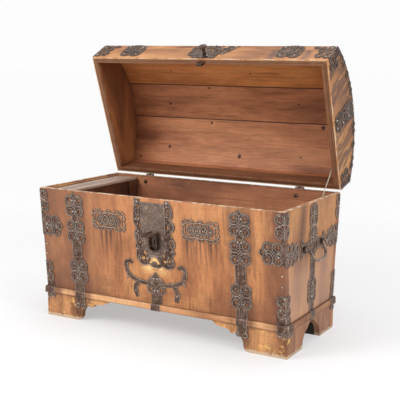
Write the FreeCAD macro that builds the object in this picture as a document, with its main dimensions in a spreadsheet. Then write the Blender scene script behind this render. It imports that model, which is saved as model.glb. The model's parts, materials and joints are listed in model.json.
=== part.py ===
import FreeCAD, Part
import os
import re
import Sketcher

# A dome-lidded oak coffer with wrought-iron mounts, lid open. The origin is on the floor under the middle
# of the chest, +X is to the right of someone facing the lock, the front faces -Y and +Z is up.

# ---------------------------------------------------------------------------------------------------------
# Driving dimensions, in millimetres and degrees
# ---------------------------------------------------------------------------------------------------------

SIZES = {
    # carcass
    "rim_width": 1204,
    "rim_depth": 608,
    "rim_height": 608,
    "base_depth": 508,
    "wall": 30,
    "end_wall": 32,
    "rim_step": 5,
    "bottom_thick": 22,
    # plinth and the moulding over its joint
    "plinth_top": 122,
    "plinth_thick": 26,
    "plinth_length": 1216,
    "moulding_bottom": 112,
    "moulding_top": 139,
    "moulding_proud": 8,
    # half outline of the front and back plinth boards, from the middle out to the foot
    "arch_half": 262,
    "shoulder_reach": 290,
    "shoulder_level": 92,
    "ledge_reach": 345,
    "ledge_level": 83,
    "drop_reach": 357,
    "drop_level": 70,
    "hollow_reach": 372,
    "hollow_level": 77,
    "toe_reach": 412,
    "toe_level": 28,
    "foot_reach": 436,
    # half outline of the end plinth boards
    "side_foot": 100,
    "side_toe": 94,
    "side_toe_level": 27,
    "side_ogee": 45,
    "side_ogee_level": 75,
    "side_peak": 105,
    "block_width": 60,
    # lid
    "lid_gap": 1,
    "lid_board": 25,
    "lid_end_wall": 30,
    "lid_flare": 16,
    "lid_spring": 130,
    "lid_rise": 250,
    "lid_joint": 90,
    "lid_lip": 4.7,
    "lip_play": 1.2,
    "seam_inner": 88,
    "seam_outer": 92,
    "lid_angle": 70,
    # hinges
    "hinge_place": 405,
    "hinge_width": 41,
    "hinge_length": 190,
    "pivot_proud": 8,
    "pivot_height": 608.5,
    "knuckle_radius": 6,
    "pin_radius": 3,
    "pin_play": 0.06,
    "leaf": 3,
    # iron
    "plate": 2.5,
    "nail_radius": 4.2,
    "bolt_radius": 9.5,
    "strap_neck": 26,
    "medallion": 49,
    "cap_reach": 46,
    "cap_foot": 70,
    # till
    "till_width": 110,
    "till_floor": 458,
    "till_board": 12,
    "till_lid_top": 598,
    "till_lid_thick": 10,
    "till_pin_radius": 4,
    "till_pin_play": 0.1,
    "till_pin_hole": 20,
    "till_pin_reach": 8,
    "till_pin_inset": 11,
    "batten_width": 80,
    # lock
    "lock_place": 1,
    "lock_half": 48,
    "lock_inset": 5,
    "lock_depth": 27,
    "lock_top": 597,
    "lock_length": 200,
    "lock_shell": 1.2,
    "catch_width": 30,
    "catch_depth": 10,
    "catch_length": 34,
    "catch_middle": -285,
    "bolt_height": 11,
    "bolt_depth": 4,
    "bolt_length": 26,
    "guide_half": 22,
    "guide_bar": 6,
    "guide_top": 452,
    "guide_straight": 402,
    "guide_proud": 18,
    "cover_axis": 461,
    "cover_out": 22,
    "cover_length": 64,
    "cover_half": 20,
    "cover_pin_radius": 1.6,
    # bail handles
    "eye_place": 95,
    "eye_width": 14,
    "eye_level": 425,
    "eye_out": 15,
    "eye_reach": 25,
    "bail_radius": 6,
    "bail_play": 0.1,
    "bail_arm": 75,
    "bail_elbow": 12,
    "bail_corner": 46,
    "bail_drop": 62,
    "bail_end": 108,
    "bail_tilt": 25,
    # stay cord
    "cord_radius": 2.5,
    "staple_radius": 6,
    "staple_wire": 1.6,
    "stay_depth": 190,
    "stay_level": 592,
    "stay_lid_depth": 194,
    "stay_lid_level": 52,
}

doc = FreeCAD.newDocument("coffer_chest")
sheet = doc.addObject("Spreadsheet::Sheet", "Sizes")
for row, (alias, dimension) in enumerate(SIZES.items(), start=1):
    sheet.set(f"A{row}", alias)
    sheet.set(f"B{row}", str(dimension))
    sheet.setAlias(f"B{row}", alias)
doc.recompute()

nodes = {}


# ---------------------------------------------------------------------------------------------------------
# Expressions, frames and the few kinds of solid
# ---------------------------------------------------------------------------------------------------------


def bound(text):
    """The expression with each alias read from the sheet."""
    return re.sub(r"[a-z][a-z_]*", lambda word: sheet_word(word.group()), str(text))


def sheet_word(word):
    return f"Sizes.{word}" if word in SIZES else word


def number(text):
    """The present value of an expression of the sheet's aliases."""
    answer = sheet.evalExpression(bound(text))
    return float(getattr(answer, "Value", answer))


def vector(x, y, z):
    return FreeCAD.Vector(number(x), number(y), number(z))


def turn(axis, degrees):
    return FreeCAD.Rotation(FreeCAD.Vector(*axis), degrees)


def at(x, y, z, rotation=FreeCAD.Rotation()):
    return FreeCAD.Placement(vector(x, y, z), rotation)


def face_frame(yaw, half_depth, level, lean):
    """A frame on a face: X along it, Z up it, -Y out of it, with its zero `level` below the given edge."""
    rotation = turn((0, 0, 1), yaw).multiply(turn((1, 0, 0), lean))
    edge = turn((0, 0, 1), yaw).multVec(FreeCAD.Vector(0, -number(half_depth), 0))
    edge.z = number("rim_height")
    return FreeCAD.Placement(edge - rotation.multVec(FreeCAD.Vector(0, 0, number(level))), rotation)


def half_depth(level):
    """Half the carcass's outer depth at a height, as an expression."""
    rise = f"({level} - plinth_top) / (rim_height - plinth_top)"
    return f"(base_depth / 2 + {rise} * (rim_depth - base_depth) / 2)"


def arch(place, half, spring, top):
    """Height of a circular arch over `place`, as an expression."""
    radius = f"((({half})^2 + ({top} - {spring})^2) / (2 * ({top} - {spring})))"
    return f"({top} - {radius} + sqrt({radius}^2 - ({place})^2))"


def draw(sketch, points, closed=True):
    """Draw an outline. A point is (x, y), or (x, y, via_x, via_y) where an arc leads to it."""
    places = [FreeCAD.Vector(number(point[0]), number(point[1]), 0) for point in points]
    first = 0 if closed else 1
    ends = []
    for index in range(first, len(points)):
        point = points[index]
        start = places[index - 1]
        finish = places[index]
        if len(point) == 2:
            edge = sketch.addGeometry(Part.LineSegment(start, finish), False)
            ends.append((edge, 1, 2))
            continue
        via = FreeCAD.Vector(number(point[2]), number(point[3]), 0)
        if (via - start).cross(finish - via).z > 0:
            edge = sketch.addGeometry(Part.Arc(start, via, finish), False)
            ends.append((edge, 1, 2))
        else:
            edge = sketch.addGeometry(Part.Arc(finish, via, start), False)
            ends.append((edge, 2, 1))
        mark = sketch.addGeometry(Part.Point(via), True)
        sketch.addConstraint(Sketcher.Constraint("PointOnObject", mark, 1, edge))
        fix(sketch, mark, 1, point[2], point[3])
    for index, (edge, start, finish) in enumerate(ends):
        if index > 0 or closed:
            before, _, end_before = ends[index - 1]
            sketch.addConstraint(Sketcher.Constraint("Coincident", before, end_before, edge, start))
        else:
            fix(sketch, edge, start, points[0][0], points[0][1])
        fix(sketch, edge, finish, points[index + first][0], points[index + first][1])


def fix(sketch, geometry, end, x, y):
    """Bind a point's two coordinates to expressions."""
    for kind, text in (("DistanceX", x), ("DistanceY", y)):
        rule = sketch.addConstraint(Sketcher.Constraint(kind, -1, 1, geometry, end, number(text)))
        sketch.setExpression(f"Constraints[{rule}]", bound(text))


def new_sketch(body, name, plane, offset="0"):
    sketch = body.newObject("Sketcher::SketchObject", name)
    support = [feature for feature in body.Origin.OriginFeatures if feature.Role == plane][0]
    sketch.AttachmentSupport = (support, [""])
    sketch.MapMode = "FlatFace"
    sketch.AttachmentOffset = FreeCAD.Placement(FreeCAD.Vector(0, 0, number(offset)), FreeCAD.Rotation())
    sketch.setExpression("AttachmentOffset.Base.z", bound(offset))
    return sketch


def prism(name, plane, points, start, length, frame=None):
    """A padded outline. The pad begins `start` along the plane's normal: -Y, +X or +Z."""
    body = doc.addObject("PartDesign::Body", name)
    sketch = new_sketch(body, f"{name}_outline", plane, start)
    draw(sketch, points)
    pad = body.newObject("PartDesign::Pad", f"{name}_pad")
    pad.Profile = sketch
    pad.setExpression("Length", bound(length))
    if frame is not None:
        body.Placement = frame
    return body


def box(name, corner, lengths, frame=FreeCAD.Placement()):
    block = doc.addObject("Part::Box", name)
    for side, text in zip(("Length", "Width", "Height"), lengths):
        block.setExpression(side, bound(text))
    block.Placement = frame.multiply(at(*corner))
    return block


def cylinder(name, radius, length, frame):
    """A cylinder along its frame's Z, from the frame's origin."""
    round_bar = doc.addObject("Part::Cylinder", name)
    round_bar.setExpression("Radius", bound(radius))
    round_bar.setExpression("Height", bound(length))
    round_bar.Placement = frame
    return round_bar


def dome(name, radius, frame):
    """Half a ball that stands out of a face, along its frame's -Y."""
    head = doc.addObject("Part::Sphere", name)
    head.setExpression("Radius", bound(radius))
    head.Angle1 = 0
    head.Placement = frame.multiply(FreeCAD.Placement(FreeCAD.Vector(), turn((1, 0, 0), 90)))
    return head


def cut(name, base, tools):
    for index, tool in enumerate(tools):
        last = index == len(tools) - 1
        result = doc.addObject("Part::Cut", name if last else f"{name}_cut_{index}")
        result.Base = base
        result.Tool = tool
        base = result
    return base


def fuse(name, shapes):
    result = doc.addObject("Part::MultiFuse", name)
    result.Shapes = shapes
    return result


def group(name, shapes):
    result = doc.addObject("Part::Compound", name)
    result.Links = shapes
    return result


def node(name, shape):
    """Register a finished sub-part under the name of its file."""
    shape.Label = name
    nodes[name] = shape
    return shape


def mirrored(points):
    """A half outline with x over 0, from top to bottom, closed by its mirror image."""
    left = []
    for index in range(len(points) - 1, -1, -1):
        point = points[index]
        arrival = points[index + 1] if index + 1 < len(points) else point[:2]
        if len(arrival) == 4:
            left.append((f"-({point[0]})", point[1], f"-({arrival[2]})", arrival[3]))
        else:
            left.append((f"-({point[0]})", point[1]))
    if number(points[-1][0]) == 0:
        left = left[1:]
    if number(points[0][0]) == 0:
        last = left.pop()
        if len(last) == 4:
            return [(points[0][0], points[0][1], last[2], last[3])] + points[1:] + left
    return points + left


# ---------------------------------------------------------------------------------------------------------
# Frames of the faces and of the open lid
# ---------------------------------------------------------------------------------------------------------

LEAN = number("atan((rim_depth - base_depth) / 2 / (rim_height - plinth_top))")
FLARE = number("atan(lid_flare / lid_spring)")
FRONT = face_frame(0, "rim_depth / 2", "rim_height", LEAN)
BACK = face_frame(180, "rim_depth / 2", "rim_height", LEAN)
RIGHT = face_frame(90, "rim_width / 2", "rim_height", 0)
LEFT = face_frame(-90, "rim_width / 2", "rim_height", 0)
BACK_INNER = face_frame(0, "wall - rim_depth / 2", "rim_height", -LEAN)
UPRIGHT = FreeCAD.Placement()

# Lid pieces are placed as if the lid were closed, then turned back about the hinge pins.
LID_BOTTOM = "(rim_height + lid_gap)"
PIVOT = ("0", "rim_depth / 2 + pivot_proud", "pivot_height")
to_pivot = at(*PIVOT)
swing = FreeCAD.Placement(FreeCAD.Vector(), turn((1, 0, 0), -number("lid_angle")))
OPEN = to_pivot.multiply(swing).multiply(to_pivot.inverse())
LID_FRONT = OPEN.multiply(face_frame(0, "rim_depth / 2", "-lid_gap", FLARE))
LID_BACK = OPEN.multiply(face_frame(180, "rim_depth / 2", "-lid_gap", FLARE))
LID_RIGHT = OPEN.multiply(face_frame(90, "rim_width / 2", "-lid_gap", 0))
LID_LEFT = OPEN.multiply(face_frame(-90, "rim_width / 2", "-lid_gap", 0))
ALONG_X = turn((0, 1, 0), 90)
ALONG_Y = turn((1, 0, 0), -90)


# ---------------------------------------------------------------------------------------------------------
# Carcass
# ---------------------------------------------------------------------------------------------------------

INNER_RIM = "(rim_depth / 2 - wall)"
INNER_BASE = "(base_depth / 2 - wall)"
INNER_END = "(rim_width / 2 - end_wall)"
SPILL = "2"


def long_board(name, side):
    """The front or back board, side -1 or 1, with the step along the inner half of its rim."""
    outline = [
        (f"{side} * base_depth / 2", "plinth_top"),
        (f"{side} * {INNER_BASE}", "plinth_top"),
        (f"{side} * {INNER_RIM}", "rim_height"),
        (f"{side} * rim_depth / 2", "rim_height"),
    ]
    board = prism(f"{name}_board", "YZ_Plane", outline, "-rim_width / 2", "rim_width")
    step_depth = f"(wall / 2 + {SPILL})"
    step = box(
        f"{name}_step",
        (
            "-rim_width / 2 + end_wall / 2",
            f"{side} * (rim_depth / 2 - wall / 2) - (1 + {side}) / 2 * {step_depth}",
            "rim_height - rim_step",
        ),
        ("rim_width - end_wall", step_depth, f"rim_step + {SPILL}"),
    )
    pin_start = f"{side} * ({half_depth('till_lid_top')} - wall - 10) - (1 - {side}) / 2 * till_pin_hole"
    pin_hole = cylinder(
        f"{name}_pin_hole",
        "till_pin_radius + till_pin_play",
        "till_pin_hole",
        at(f"-{INNER_END} + till_pin_inset", pin_start, "till_lid_top - till_lid_thick / 2", ALONG_Y),
    )
    return board, [step, pin_hole]


def lock_box(name, margin):
    """The space of the lock in the front board's own slope, shrunk by `margin` on each side."""
    return box(
        name,
        (
            f"lock_place - lock_half + {margin}",
            f"lock_inset + {margin}",
            f"lock_top - lock_length + {margin}",
        ),
        (f"2 * (lock_half - {margin})", f"lock_depth - 2 * {margin}", f"lock_length - 2 * {margin}"),
        FRONT,
    )


def catch_slot(name):
    """The upright slot that the lid's catch drops through, wide enough for its swing."""
    return box(
        name,
        ("lock_place - catch_width / 2 - 3", "catch_middle - catch_depth / 2 - 3", "lock_top - 8"),
        ("catch_width + 6", "catch_depth + 6", "rim_height - lock_top + 12"),
    )


front_board, front_cuts = long_board("front", -1)
front_cuts += [lock_box("lock_pocket", "0"), catch_slot("rim_slot")]
node("front_panel", cut("front_panel", front_board, front_cuts))
back_board, back_cuts = long_board("back", 1)
node("back_panel", cut("back_panel", back_board, back_cuts))

END_OUTLINE = [
    (f"-{INNER_BASE}", "plinth_top"),
    (INNER_BASE, "plinth_top"),
    (INNER_RIM, "rim_height"),
    (f"-{INNER_RIM}", "rim_height"),
]
for name, start, step_start in (
    ("left_panel", "-rim_width / 2", f"-{INNER_END} - end_wall / 2"),
    ("right_panel", INNER_END, INNER_END),
):
    board = prism(f"{name}_board", "YZ_Plane", END_OUTLINE, start, "end_wall")
    step = box(
        f"{name}_step",
        (step_start, "-rim_depth / 2", "rim_height - rim_step"),
        ("end_wall / 2", "rim_depth", f"rim_step + {SPILL}"),
    )
    node(name, cut(name, board, [step]))

FLOOR_TOP = "(plinth_top + bottom_thick)"
bottom_outline = [
    (f"-{INNER_BASE}", "plinth_top"),
    (INNER_BASE, "plinth_top"),
    (f"{half_depth(FLOOR_TOP)} - wall", FLOOR_TOP),
    (f"wall - {half_depth(FLOOR_TOP)}", FLOOR_TOP),
]
node("bottom_board", prism("bottom_board", "YZ_Plane", bottom_outline, f"-{INNER_END}", f"2 * {INNER_END}"))


# ---------------------------------------------------------------------------------------------------------
# Plinth and moulding
# ---------------------------------------------------------------------------------------------------------

LONG_HALF = [
    ("plinth_length / 2", "plinth_top"),
    ("plinth_length / 2", "0"),
    ("foot_reach", "0"),
    ("toe_reach", "toe_level", "toe_reach + 3", "toe_level / 2"),
    ("hollow_reach", "hollow_level", "toe_reach - 10", "(toe_level + hollow_level) / 2 + 4"),
    ("drop_reach", "drop_level", "(hollow_reach + drop_reach) / 2 + 1", "drop_level + 1"),
    ("ledge_reach", "ledge_level", "ledge_reach + 3", "drop_level + 4"),
    ("shoulder_reach", "shoulder_level"),
    ("arch_half", "moulding_bottom", "arch_half + 16", "shoulder_level + 6"),
]
for name, start in (("plinth_front", "base_depth / 2 - plinth_thick"), ("plinth_back", "-base_depth / 2")):
    node(name, prism(name, "XZ_Plane", mirrored(LONG_HALF), start, "plinth_thick"))

END_HALF = [
    ("base_depth / 2 - plinth_thick", "plinth_top"),
    ("base_depth / 2 - plinth_thick", "0"),
    ("side_foot", "0"),
    ("side_toe", "side_toe_level"),
    ("side_ogee", "side_ogee_level", "side_toe - 14", "side_toe_level + 26"),
    ("0", "side_peak", "side_ogee / 2", "side_ogee_level + 19"),
]
for name, start in (
    ("plinth_left", "-plinth_length / 2"),
    ("plinth_right", "plinth_length / 2 - plinth_thick"),
):
    node(name, prism(name, "YZ_Plane", mirrored(END_HALF), start, "plinth_thick"))

BLOCK_DEEP = "(base_depth / 2 - plinth_thick - side_foot)"
corner_blocks = []
for index, (across, along) in enumerate(
    (
        ("plinth_thick - plinth_length / 2", f"-side_foot - {BLOCK_DEEP}"),
        ("plinth_length / 2 - plinth_thick - block_width", f"-side_foot - {BLOCK_DEEP}"),
        ("plinth_thick - plinth_length / 2", "side_foot"),
        ("plinth_length / 2 - plinth_thick - block_width", "side_foot"),
    )
):
    lengths = ("block_width", BLOCK_DEEP, "plinth_top")
    corner_blocks.append(box(f"corner_block_{index}", (across, along, "0"), lengths))
node("corner_blocks", group("corner_blocks", corner_blocks))

MOULDING_OUT = "(base_depth / 2 + moulding_proud)"
MOULDING_END = "(plinth_length / 2 + moulding_proud / 2)"


def long_moulding(side):
    outline = [
        (f"{side} * base_depth / 2", "moulding_bottom"),
        (f"{side} * {MOULDING_OUT}", "moulding_bottom"),
        (f"{side} * {MOULDING_OUT}", "moulding_top - 10"),
        (
            f"{side} * ({MOULDING_OUT} - 4.5)",
            "moulding_top",
            f"{side} * ({MOULDING_OUT} - 1.2)",
            "moulding_top - 4.5",
        ),
        (f"{side} * {half_depth('moulding_top')}", "moulding_top"),
        (f"{side} * base_depth / 2", "plinth_top"),
    ]
    name = f"moulding_{'front' if side < 0 else 'back'}"
    return prism(name, "YZ_Plane", outline, f"-{MOULDING_END}", f"2 * {MOULDING_END}")


def end_moulding(side):
    outline = [
        (f"{side} * plinth_length / 2", "moulding_bottom"),
        (f"{side} * {MOULDING_END}", "moulding_bottom"),
        (f"{side} * {MOULDING_END}", "moulding_top - 10"),
        (
            f"{side} * ({MOULDING_END} - 4.5)",
            "moulding_top",
            f"{side} * ({MOULDING_END} - 1.2)",
            "moulding_top - 4.5",
        ),
        (f"{side} * rim_width / 2", "moulding_top"),
        (f"{side} * rim_width / 2", "plinth_top"),
        (f"{side} * plinth_length / 2", "plinth_top"),
    ]
    name = f"moulding_{'left' if side < 0 else 'right'}"
    return prism(name, "XZ_Plane", outline, "-base_depth / 2", "base_depth")


strips = [long_moulding(-1), long_moulding(1), end_moulding(-1), end_moulding(1)]
node("base_moulding", group("base_moulding", strips))


# ---------------------------------------------------------------------------------------------------------
# Till
# ---------------------------------------------------------------------------------------------------------

TILL_LID_BOTTOM = "(till_lid_top - till_lid_thick)"
TILL_TOP = f"({TILL_LID_BOTTOM} - 0.5)"
TILL_INNER = f"(till_width - till_board - {INNER_END})"


def between_boards(low, high):
    """A cross-section that reaches the inner faces of the front and back boards."""
    return [
        (f"wall - {half_depth(low)}", low),
        (f"{half_depth(low)} - wall", low),
        (f"{half_depth(high)} - wall", high),
        (f"wall - {half_depth(high)}", high),
    ]


till_section = between_boards("till_floor", TILL_TOP)
node("till_side", prism("till_side", "YZ_Plane", till_section, TILL_INNER, "till_board"))
till_floor_section = between_boards("till_floor", "(till_floor + till_board)")
node(
    "till_bottom",
    prism("till_bottom", "YZ_Plane", till_floor_section, f"-{INNER_END}", f"{TILL_INNER} + {INNER_END}"),
)
batten_outline = [
    (f"{half_depth('rim_height')} - wall - batten_width", "till_floor"),
    (f"{half_depth('till_floor')} - wall", "till_floor"),
    (f"{half_depth(TILL_TOP)} - wall", TILL_TOP),
    (f"{half_depth('rim_height')} - wall - batten_width", TILL_TOP),
]
node(
    "till_batten",
    prism("till_batten", "YZ_Plane", batten_outline, f"{TILL_INNER} + till_board", "till_board"),
)

TILL_LID_HALF = f"({half_depth(TILL_LID_BOTTOM)} - wall - 1)"
TILL_LID_START = f"(till_pin_inset - 7.5 - {INNER_END})"
till_leaf = box(
    "till_leaf",
    (TILL_LID_START, f"-{TILL_LID_HALF}", TILL_LID_BOTTOM),
    (f"{TILL_INNER} + till_board - {TILL_LID_START}", f"2 * {TILL_LID_HALF}", "till_lid_thick"),
)
till_pin = cylinder(
    "till_pin",
    "till_pin_radius",
    f"2 * ({TILL_LID_HALF} + till_pin_reach)",
    at(
        f"till_pin_inset - {INNER_END}",
        f"-{TILL_LID_HALF} - till_pin_reach",
        "till_lid_top - till_lid_thick / 2",
        ALONG_Y,
    ),
)
node("till_lid", fuse("till_lid", [till_leaf, till_pin]))


# ---------------------------------------------------------------------------------------------------------
# Lid boards and staves, in the closed place
# ---------------------------------------------------------------------------------------------------------

SPRING_HALF = "(rim_depth / 2 + lid_flare)"
SPRING_INNER = f"({SPRING_HALF} - lid_board)"
SPRING_INNER_LEVEL = "(lid_spring - 10)"
CLOSED = OPEN.multiply(at("0", "0", LID_BOTTOM))
LIP_REACH = "(wall / 2 + lip_play)"


def lid_outer(level):
    """Half the lid's outer depth at a height above its own rim, below the spring of the arch."""
    return f"(rim_depth / 2 + lid_flare * ({level}) / lid_spring)"


def lid_inner(level):
    """Half the lid's inner depth at a height above its own rim, below the spring of the arch."""
    return f"(rim_depth / 2 - lid_board + lid_flare * ({level}) / {SPRING_INNER_LEVEL})"


def outer_arch(place):
    return arch(place, SPRING_HALF, "lid_spring", "lid_rise")


def inner_arch(place):
    return arch(place, SPRING_INNER, SPRING_INNER_LEVEL, "(lid_rise - lid_board)")


def low_board(name, side):
    """The upright front or rear board of the lid with its lip, side -1 or 1."""
    outline = [
        (f"{side} * {lid_outer(0)}", "0"),
        (f"{side} * {lid_inner(0)}", "0"),
        (f"{side} * {lid_inner('lid_joint')}", "lid_joint"),
        (f"{side} * {lid_outer('lid_joint')}", "lid_joint"),
    ]
    board = prism(f"{name}_board", "YZ_Plane", outline, "-rim_width / 2", "rim_width", CLOSED)
    lip_depth = f"(lid_board - {LIP_REACH})"
    lip_start = f"{side} * (rim_depth / 2 - {LIP_REACH}) - (1 + {side}) / 2 * {lip_depth}"
    lip = box(
        f"{name}_lip",
        (f"{LIP_REACH} - rim_width / 2 + 1", lip_start, "-lid_lip"),
        (f"rim_width - 2 * {LIP_REACH} - 2", lip_depth, "lid_lip"),
        CLOSED,
    )
    return fuse(f"{name}_with_lip", [board, lip])


catch_mortise = box(
    "catch_mortise",
    ("lock_place - catch_width / 2", "catch_middle - catch_depth / 2", "-lid_lip - 1"),
    ("catch_width", "catch_depth", "lid_lip + 26"),
    CLOSED,
)
node("lid_front_board", cut("lid_front_board", low_board("lid_front", -1), [catch_mortise]))
node("lid_rear_board", low_board("lid_rear_board", 1))

LID_END_OUTLINE = [
    (f"-{lid_inner(0)}", "0"),
    (lid_inner(0), "0"),
    (SPRING_INNER, SPRING_INNER_LEVEL),
    (f"-{SPRING_INNER}", SPRING_INNER_LEVEL, "0", "lid_rise - lid_board"),
]
for name, start, lip_start in (
    ("lid_left_end", "-rim_width / 2", f"{LIP_REACH} - rim_width / 2 + 1"),
    ("lid_right_end", "rim_width / 2 - lid_end_wall", "rim_width / 2 - lid_end_wall"),
):
    board = prism(f"{name}_board", "YZ_Plane", LID_END_OUTLINE, start, "lid_end_wall", CLOSED)
    lip = box(
        f"{name}_lip",
        (lip_start, f"-{lid_inner(0)}", "-lid_lip"),
        (f"lid_end_wall - {LIP_REACH} - 1", f"2 * {lid_inner(0)}", "lid_lip"),
        CLOSED,
    )
    node(name, fuse(name, [board, lip]))


def side_stave(name, side):
    """The stave that runs from a low board round to the top stave."""
    middle = "(seam_outer + rim_depth / 2) / 2"
    outline = [
        (f"{side} * {lid_inner('lid_joint')}", "lid_joint"),
        (f"{side} * {lid_outer('lid_joint')}", "lid_joint"),
        (f"{side} * {SPRING_HALF}", "lid_spring"),
        (f"{side} * seam_outer", outer_arch("seam_outer"), f"{side} * {middle}", outer_arch(middle)),
        (f"{side} * seam_inner", inner_arch("seam_inner")),
        (f"{side} * {SPRING_INNER}", SPRING_INNER_LEVEL, f"{side} * {middle}", inner_arch(middle)),
    ]
    return prism(name, "YZ_Plane", outline, "-rim_width / 2", "rim_width", CLOSED)


node("lid_stave_front", side_stave("lid_stave_front", -1))
node("lid_stave_rear", side_stave("lid_stave_rear", 1))
top_outline = [
    ("-seam_outer", outer_arch("seam_outer"), "0", "lid_rise"),
    ("-seam_inner", inner_arch("seam_inner")),
    ("seam_inner", inner_arch("seam_inner"), "0", "lid_rise - lid_board"),
    ("seam_outer", outer_arch("seam_outer")),
]
node("lid_stave_top", prism("lid_stave_top", "YZ_Plane", top_outline, "-rim_width / 2", "rim_width", CLOSED))


# ---------------------------------------------------------------------------------------------------------
# Hinges and the straps over the lid
# ---------------------------------------------------------------------------------------------------------

PIVOT_DEPTH = "(rim_depth / 2 + pivot_proud)"
PIN_HOLE = "(pin_radius + pin_play)"
KNUCKLE = "(hinge_width / 3)"


def pin_bore(name, place, frame):
    centre = at(f"{place} - hinge_width", PIVOT_DEPTH, "pivot_height", ALONG_X)
    return cylinder(name, PIN_HOLE, "2 * hinge_width", frame.multiply(centre))


def knuckle(name, start, length, frame):
    centre = at(start, PIVOT_DEPTH, "pivot_height", ALONG_X)
    return cylinder(name, "knuckle_radius", length, frame.multiply(centre))


def hinge_leaf(name, place):
    """The leaf on the back board: a strap with a round end and the two outer knuckles."""
    half = "hinge_width / 2"
    foot = "rim_height - hinge_length"
    outline = [
        (f"-({place}) - {half}", "rim_height - 6"),
        (f"-({place}) - {half}", foot),
        (f"-({place}) + {half}", foot, f"-({place})", f"{foot} - {half}"),
        (f"-({place}) + {half}", "rim_height - 6"),
    ]
    pieces = [prism(f"{name}_strap", "XZ_Plane", outline, "0", "leaf", BACK)]
    for index, start in enumerate((f"{place} - {half}", f"{place} + {half} - {KNUCKLE} + 0.5")):
        pieces.append(knuckle(f"{name}_knuckle_{index}", start, f"{KNUCKLE} - 0.5", UPRIGHT))
        pieces.append(
            box(
                f"{name}_web_{index}",
                (start, "rim_depth / 2", "pivot_height - 10"),
                (f"{KNUCKLE} - 0.5", "pivot_proud", "10 - pin_radius - 1"),
            )
        )
    blank = fuse(f"{name}_blank", pieces)
    return cut(name, blank, [pin_bore(f"{name}_bore", place, UPRIGHT)])


node("hinge_leaf_left", hinge_leaf("hinge_leaf_left", "-hinge_place"))
node("hinge_leaf_right", hinge_leaf("hinge_leaf_right", "hinge_place"))

pins = []
for side in (-1, 1):
    start = at(f"{side} * hinge_place - hinge_width / 2 - 2", PIVOT_DEPTH, "pivot_height", ALONG_X)
    pins.append(cylinder(f"hinge_pin_{side + 1}", "pin_radius", "hinge_width + 4", start))
node("hinge_pins", group("hinge_pins", pins))

bolts = []
for side in (-1, 1):
    for drop in (28, 120):
        seat = BACK_INNER.multiply(at(f"{side} * hinge_place", "0", f"rim_height - {drop}"))
        bolts.append(dome(f"hinge_bolt_{len(bolts)}", "bolt_radius", seat))
node("hinge_bolts", group("hinge_bolts", bolts))


def medallion(centre, half, low, high, neck):
    """A round-sided plate between two heights with a neck above and below."""
    middle = f"(({low}) + ({high})) / 2"
    return [
        (f"{centre} + {neck}", high),
        (f"{centre} + {neck}", low, f"{centre} + ({half})", middle),
        (f"{centre} - {neck}", low),
        (f"{centre} - {neck}", high, f"{centre} - ({half})", middle),
    ]


def lid_strap(name, place):
    """One band from the hinge over the arch to the front, with the middle knuckle and a front medallion."""
    foot = "3"
    far = f"({lid_outer(foot)} + plate)"
    outline = [
        (f"-{far}", foot),
        (f"-({SPRING_HALF} + plate)", "lid_spring"),
        (f"{SPRING_HALF} + plate", "lid_spring", "0", "lid_rise + plate"),
        (far, foot),
        (lid_outer(foot), foot),
        (SPRING_HALF, "lid_spring"),
        (f"-{SPRING_HALF}", "lid_spring", "0", "lid_rise"),
        (f"-{lid_outer(foot)}", foot),
    ]
    band_start = f"{place} - hinge_width / 2"
    band = prism(f"{name}_band", "YZ_Plane", outline, band_start, "hinge_width", CLOSED)
    front = prism(
        f"{name}_medallion",
        "XZ_Plane",
        medallion(place, "medallion + 8", "14", "lid_spring - 4", "strap_neck"),
        "0",
        "plate",
        LID_FRONT,
    )
    middle = f"{place} - {KNUCKLE} / 2 + 0.25"
    ring = knuckle(f"{name}_knuckle", middle, f"{KNUCKLE} - 0.5", OPEN)
    web = box(
        f"{name}_web",
        (middle, "rim_depth / 2 + 1.6", "pivot_height + pin_radius + 0.3"),
        (f"{KNUCKLE} - 0.5", "pivot_proud - 1.6", "7.5"),
        OPEN,
    )
    blank = fuse(f"{name}_blank", [band, front, ring, web])
    return cut(name, blank, [pin_bore(f"{name}_bore", place, OPEN)])


node("lid_strap_left", lid_strap("lid_strap_left", "(-hinge_place)"))
node("lid_strap_right", lid_strap("lid_strap_right", "hinge_place"))


# ---------------------------------------------------------------------------------------------------------
# The lid's other mounts
# ---------------------------------------------------------------------------------------------------------

centre_outline = medallion("12", "118", "5", "lid_spring - 4", "62")
node("lid_centre_plate", prism("lid_centre_plate", "XZ_Plane", centre_outline, "0", "plate", LID_FRONT))


def lid_corner(name, side, face):
    """A plate round one corner of the lid: a leg on the long board and a leg on the end."""
    long_leg = [
        (f"{side} * (rim_width / 2 - 102)", "14", f"{side} * (rim_width / 2 - 112)", "lid_spring / 2"),
        (f"{side} * (rim_width / 2 + plate)", "8"),
        (f"{side} * (rim_width / 2 + plate)", "lid_spring - 6"),
        (f"{side} * (rim_width / 2 - 94)", "lid_spring - 12"),
    ]
    frame = LID_FRONT if face < 0 else LID_BACK
    leg = prism(f"{name}_long_leg", "XZ_Plane", long_leg, "0", "plate", frame)
    end_leg = [
        (f"{face} * {lid_outer(8)}", "8"),
        (f"{face} * {lid_outer('lid_spring - 6')}", "lid_spring - 6"),
        (f"{face} * (rim_depth / 2 - 78)", "lid_spring - 20"),
        (f"{face} * (rim_depth / 2 - 94)", "12", f"{face} * (rim_depth / 2 - 102)", "lid_spring / 2"),
    ]
    turned = side if face < 0 else -side
    start = "rim_width / 2" if turned > 0 else "-rim_width / 2 - plate"
    end = prism(f"{name}_end_leg", "YZ_Plane", end_leg, start, "plate", CLOSED)
    return fuse(name, [leg, end])


corners = []
for face in (-1, 1):
    for side in (-1, 1):
        corners.append(lid_corner(f"lid_corner_{len(corners)}", side, face))
node("lid_corner_mounts", group("lid_corner_mounts", corners))

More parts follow.
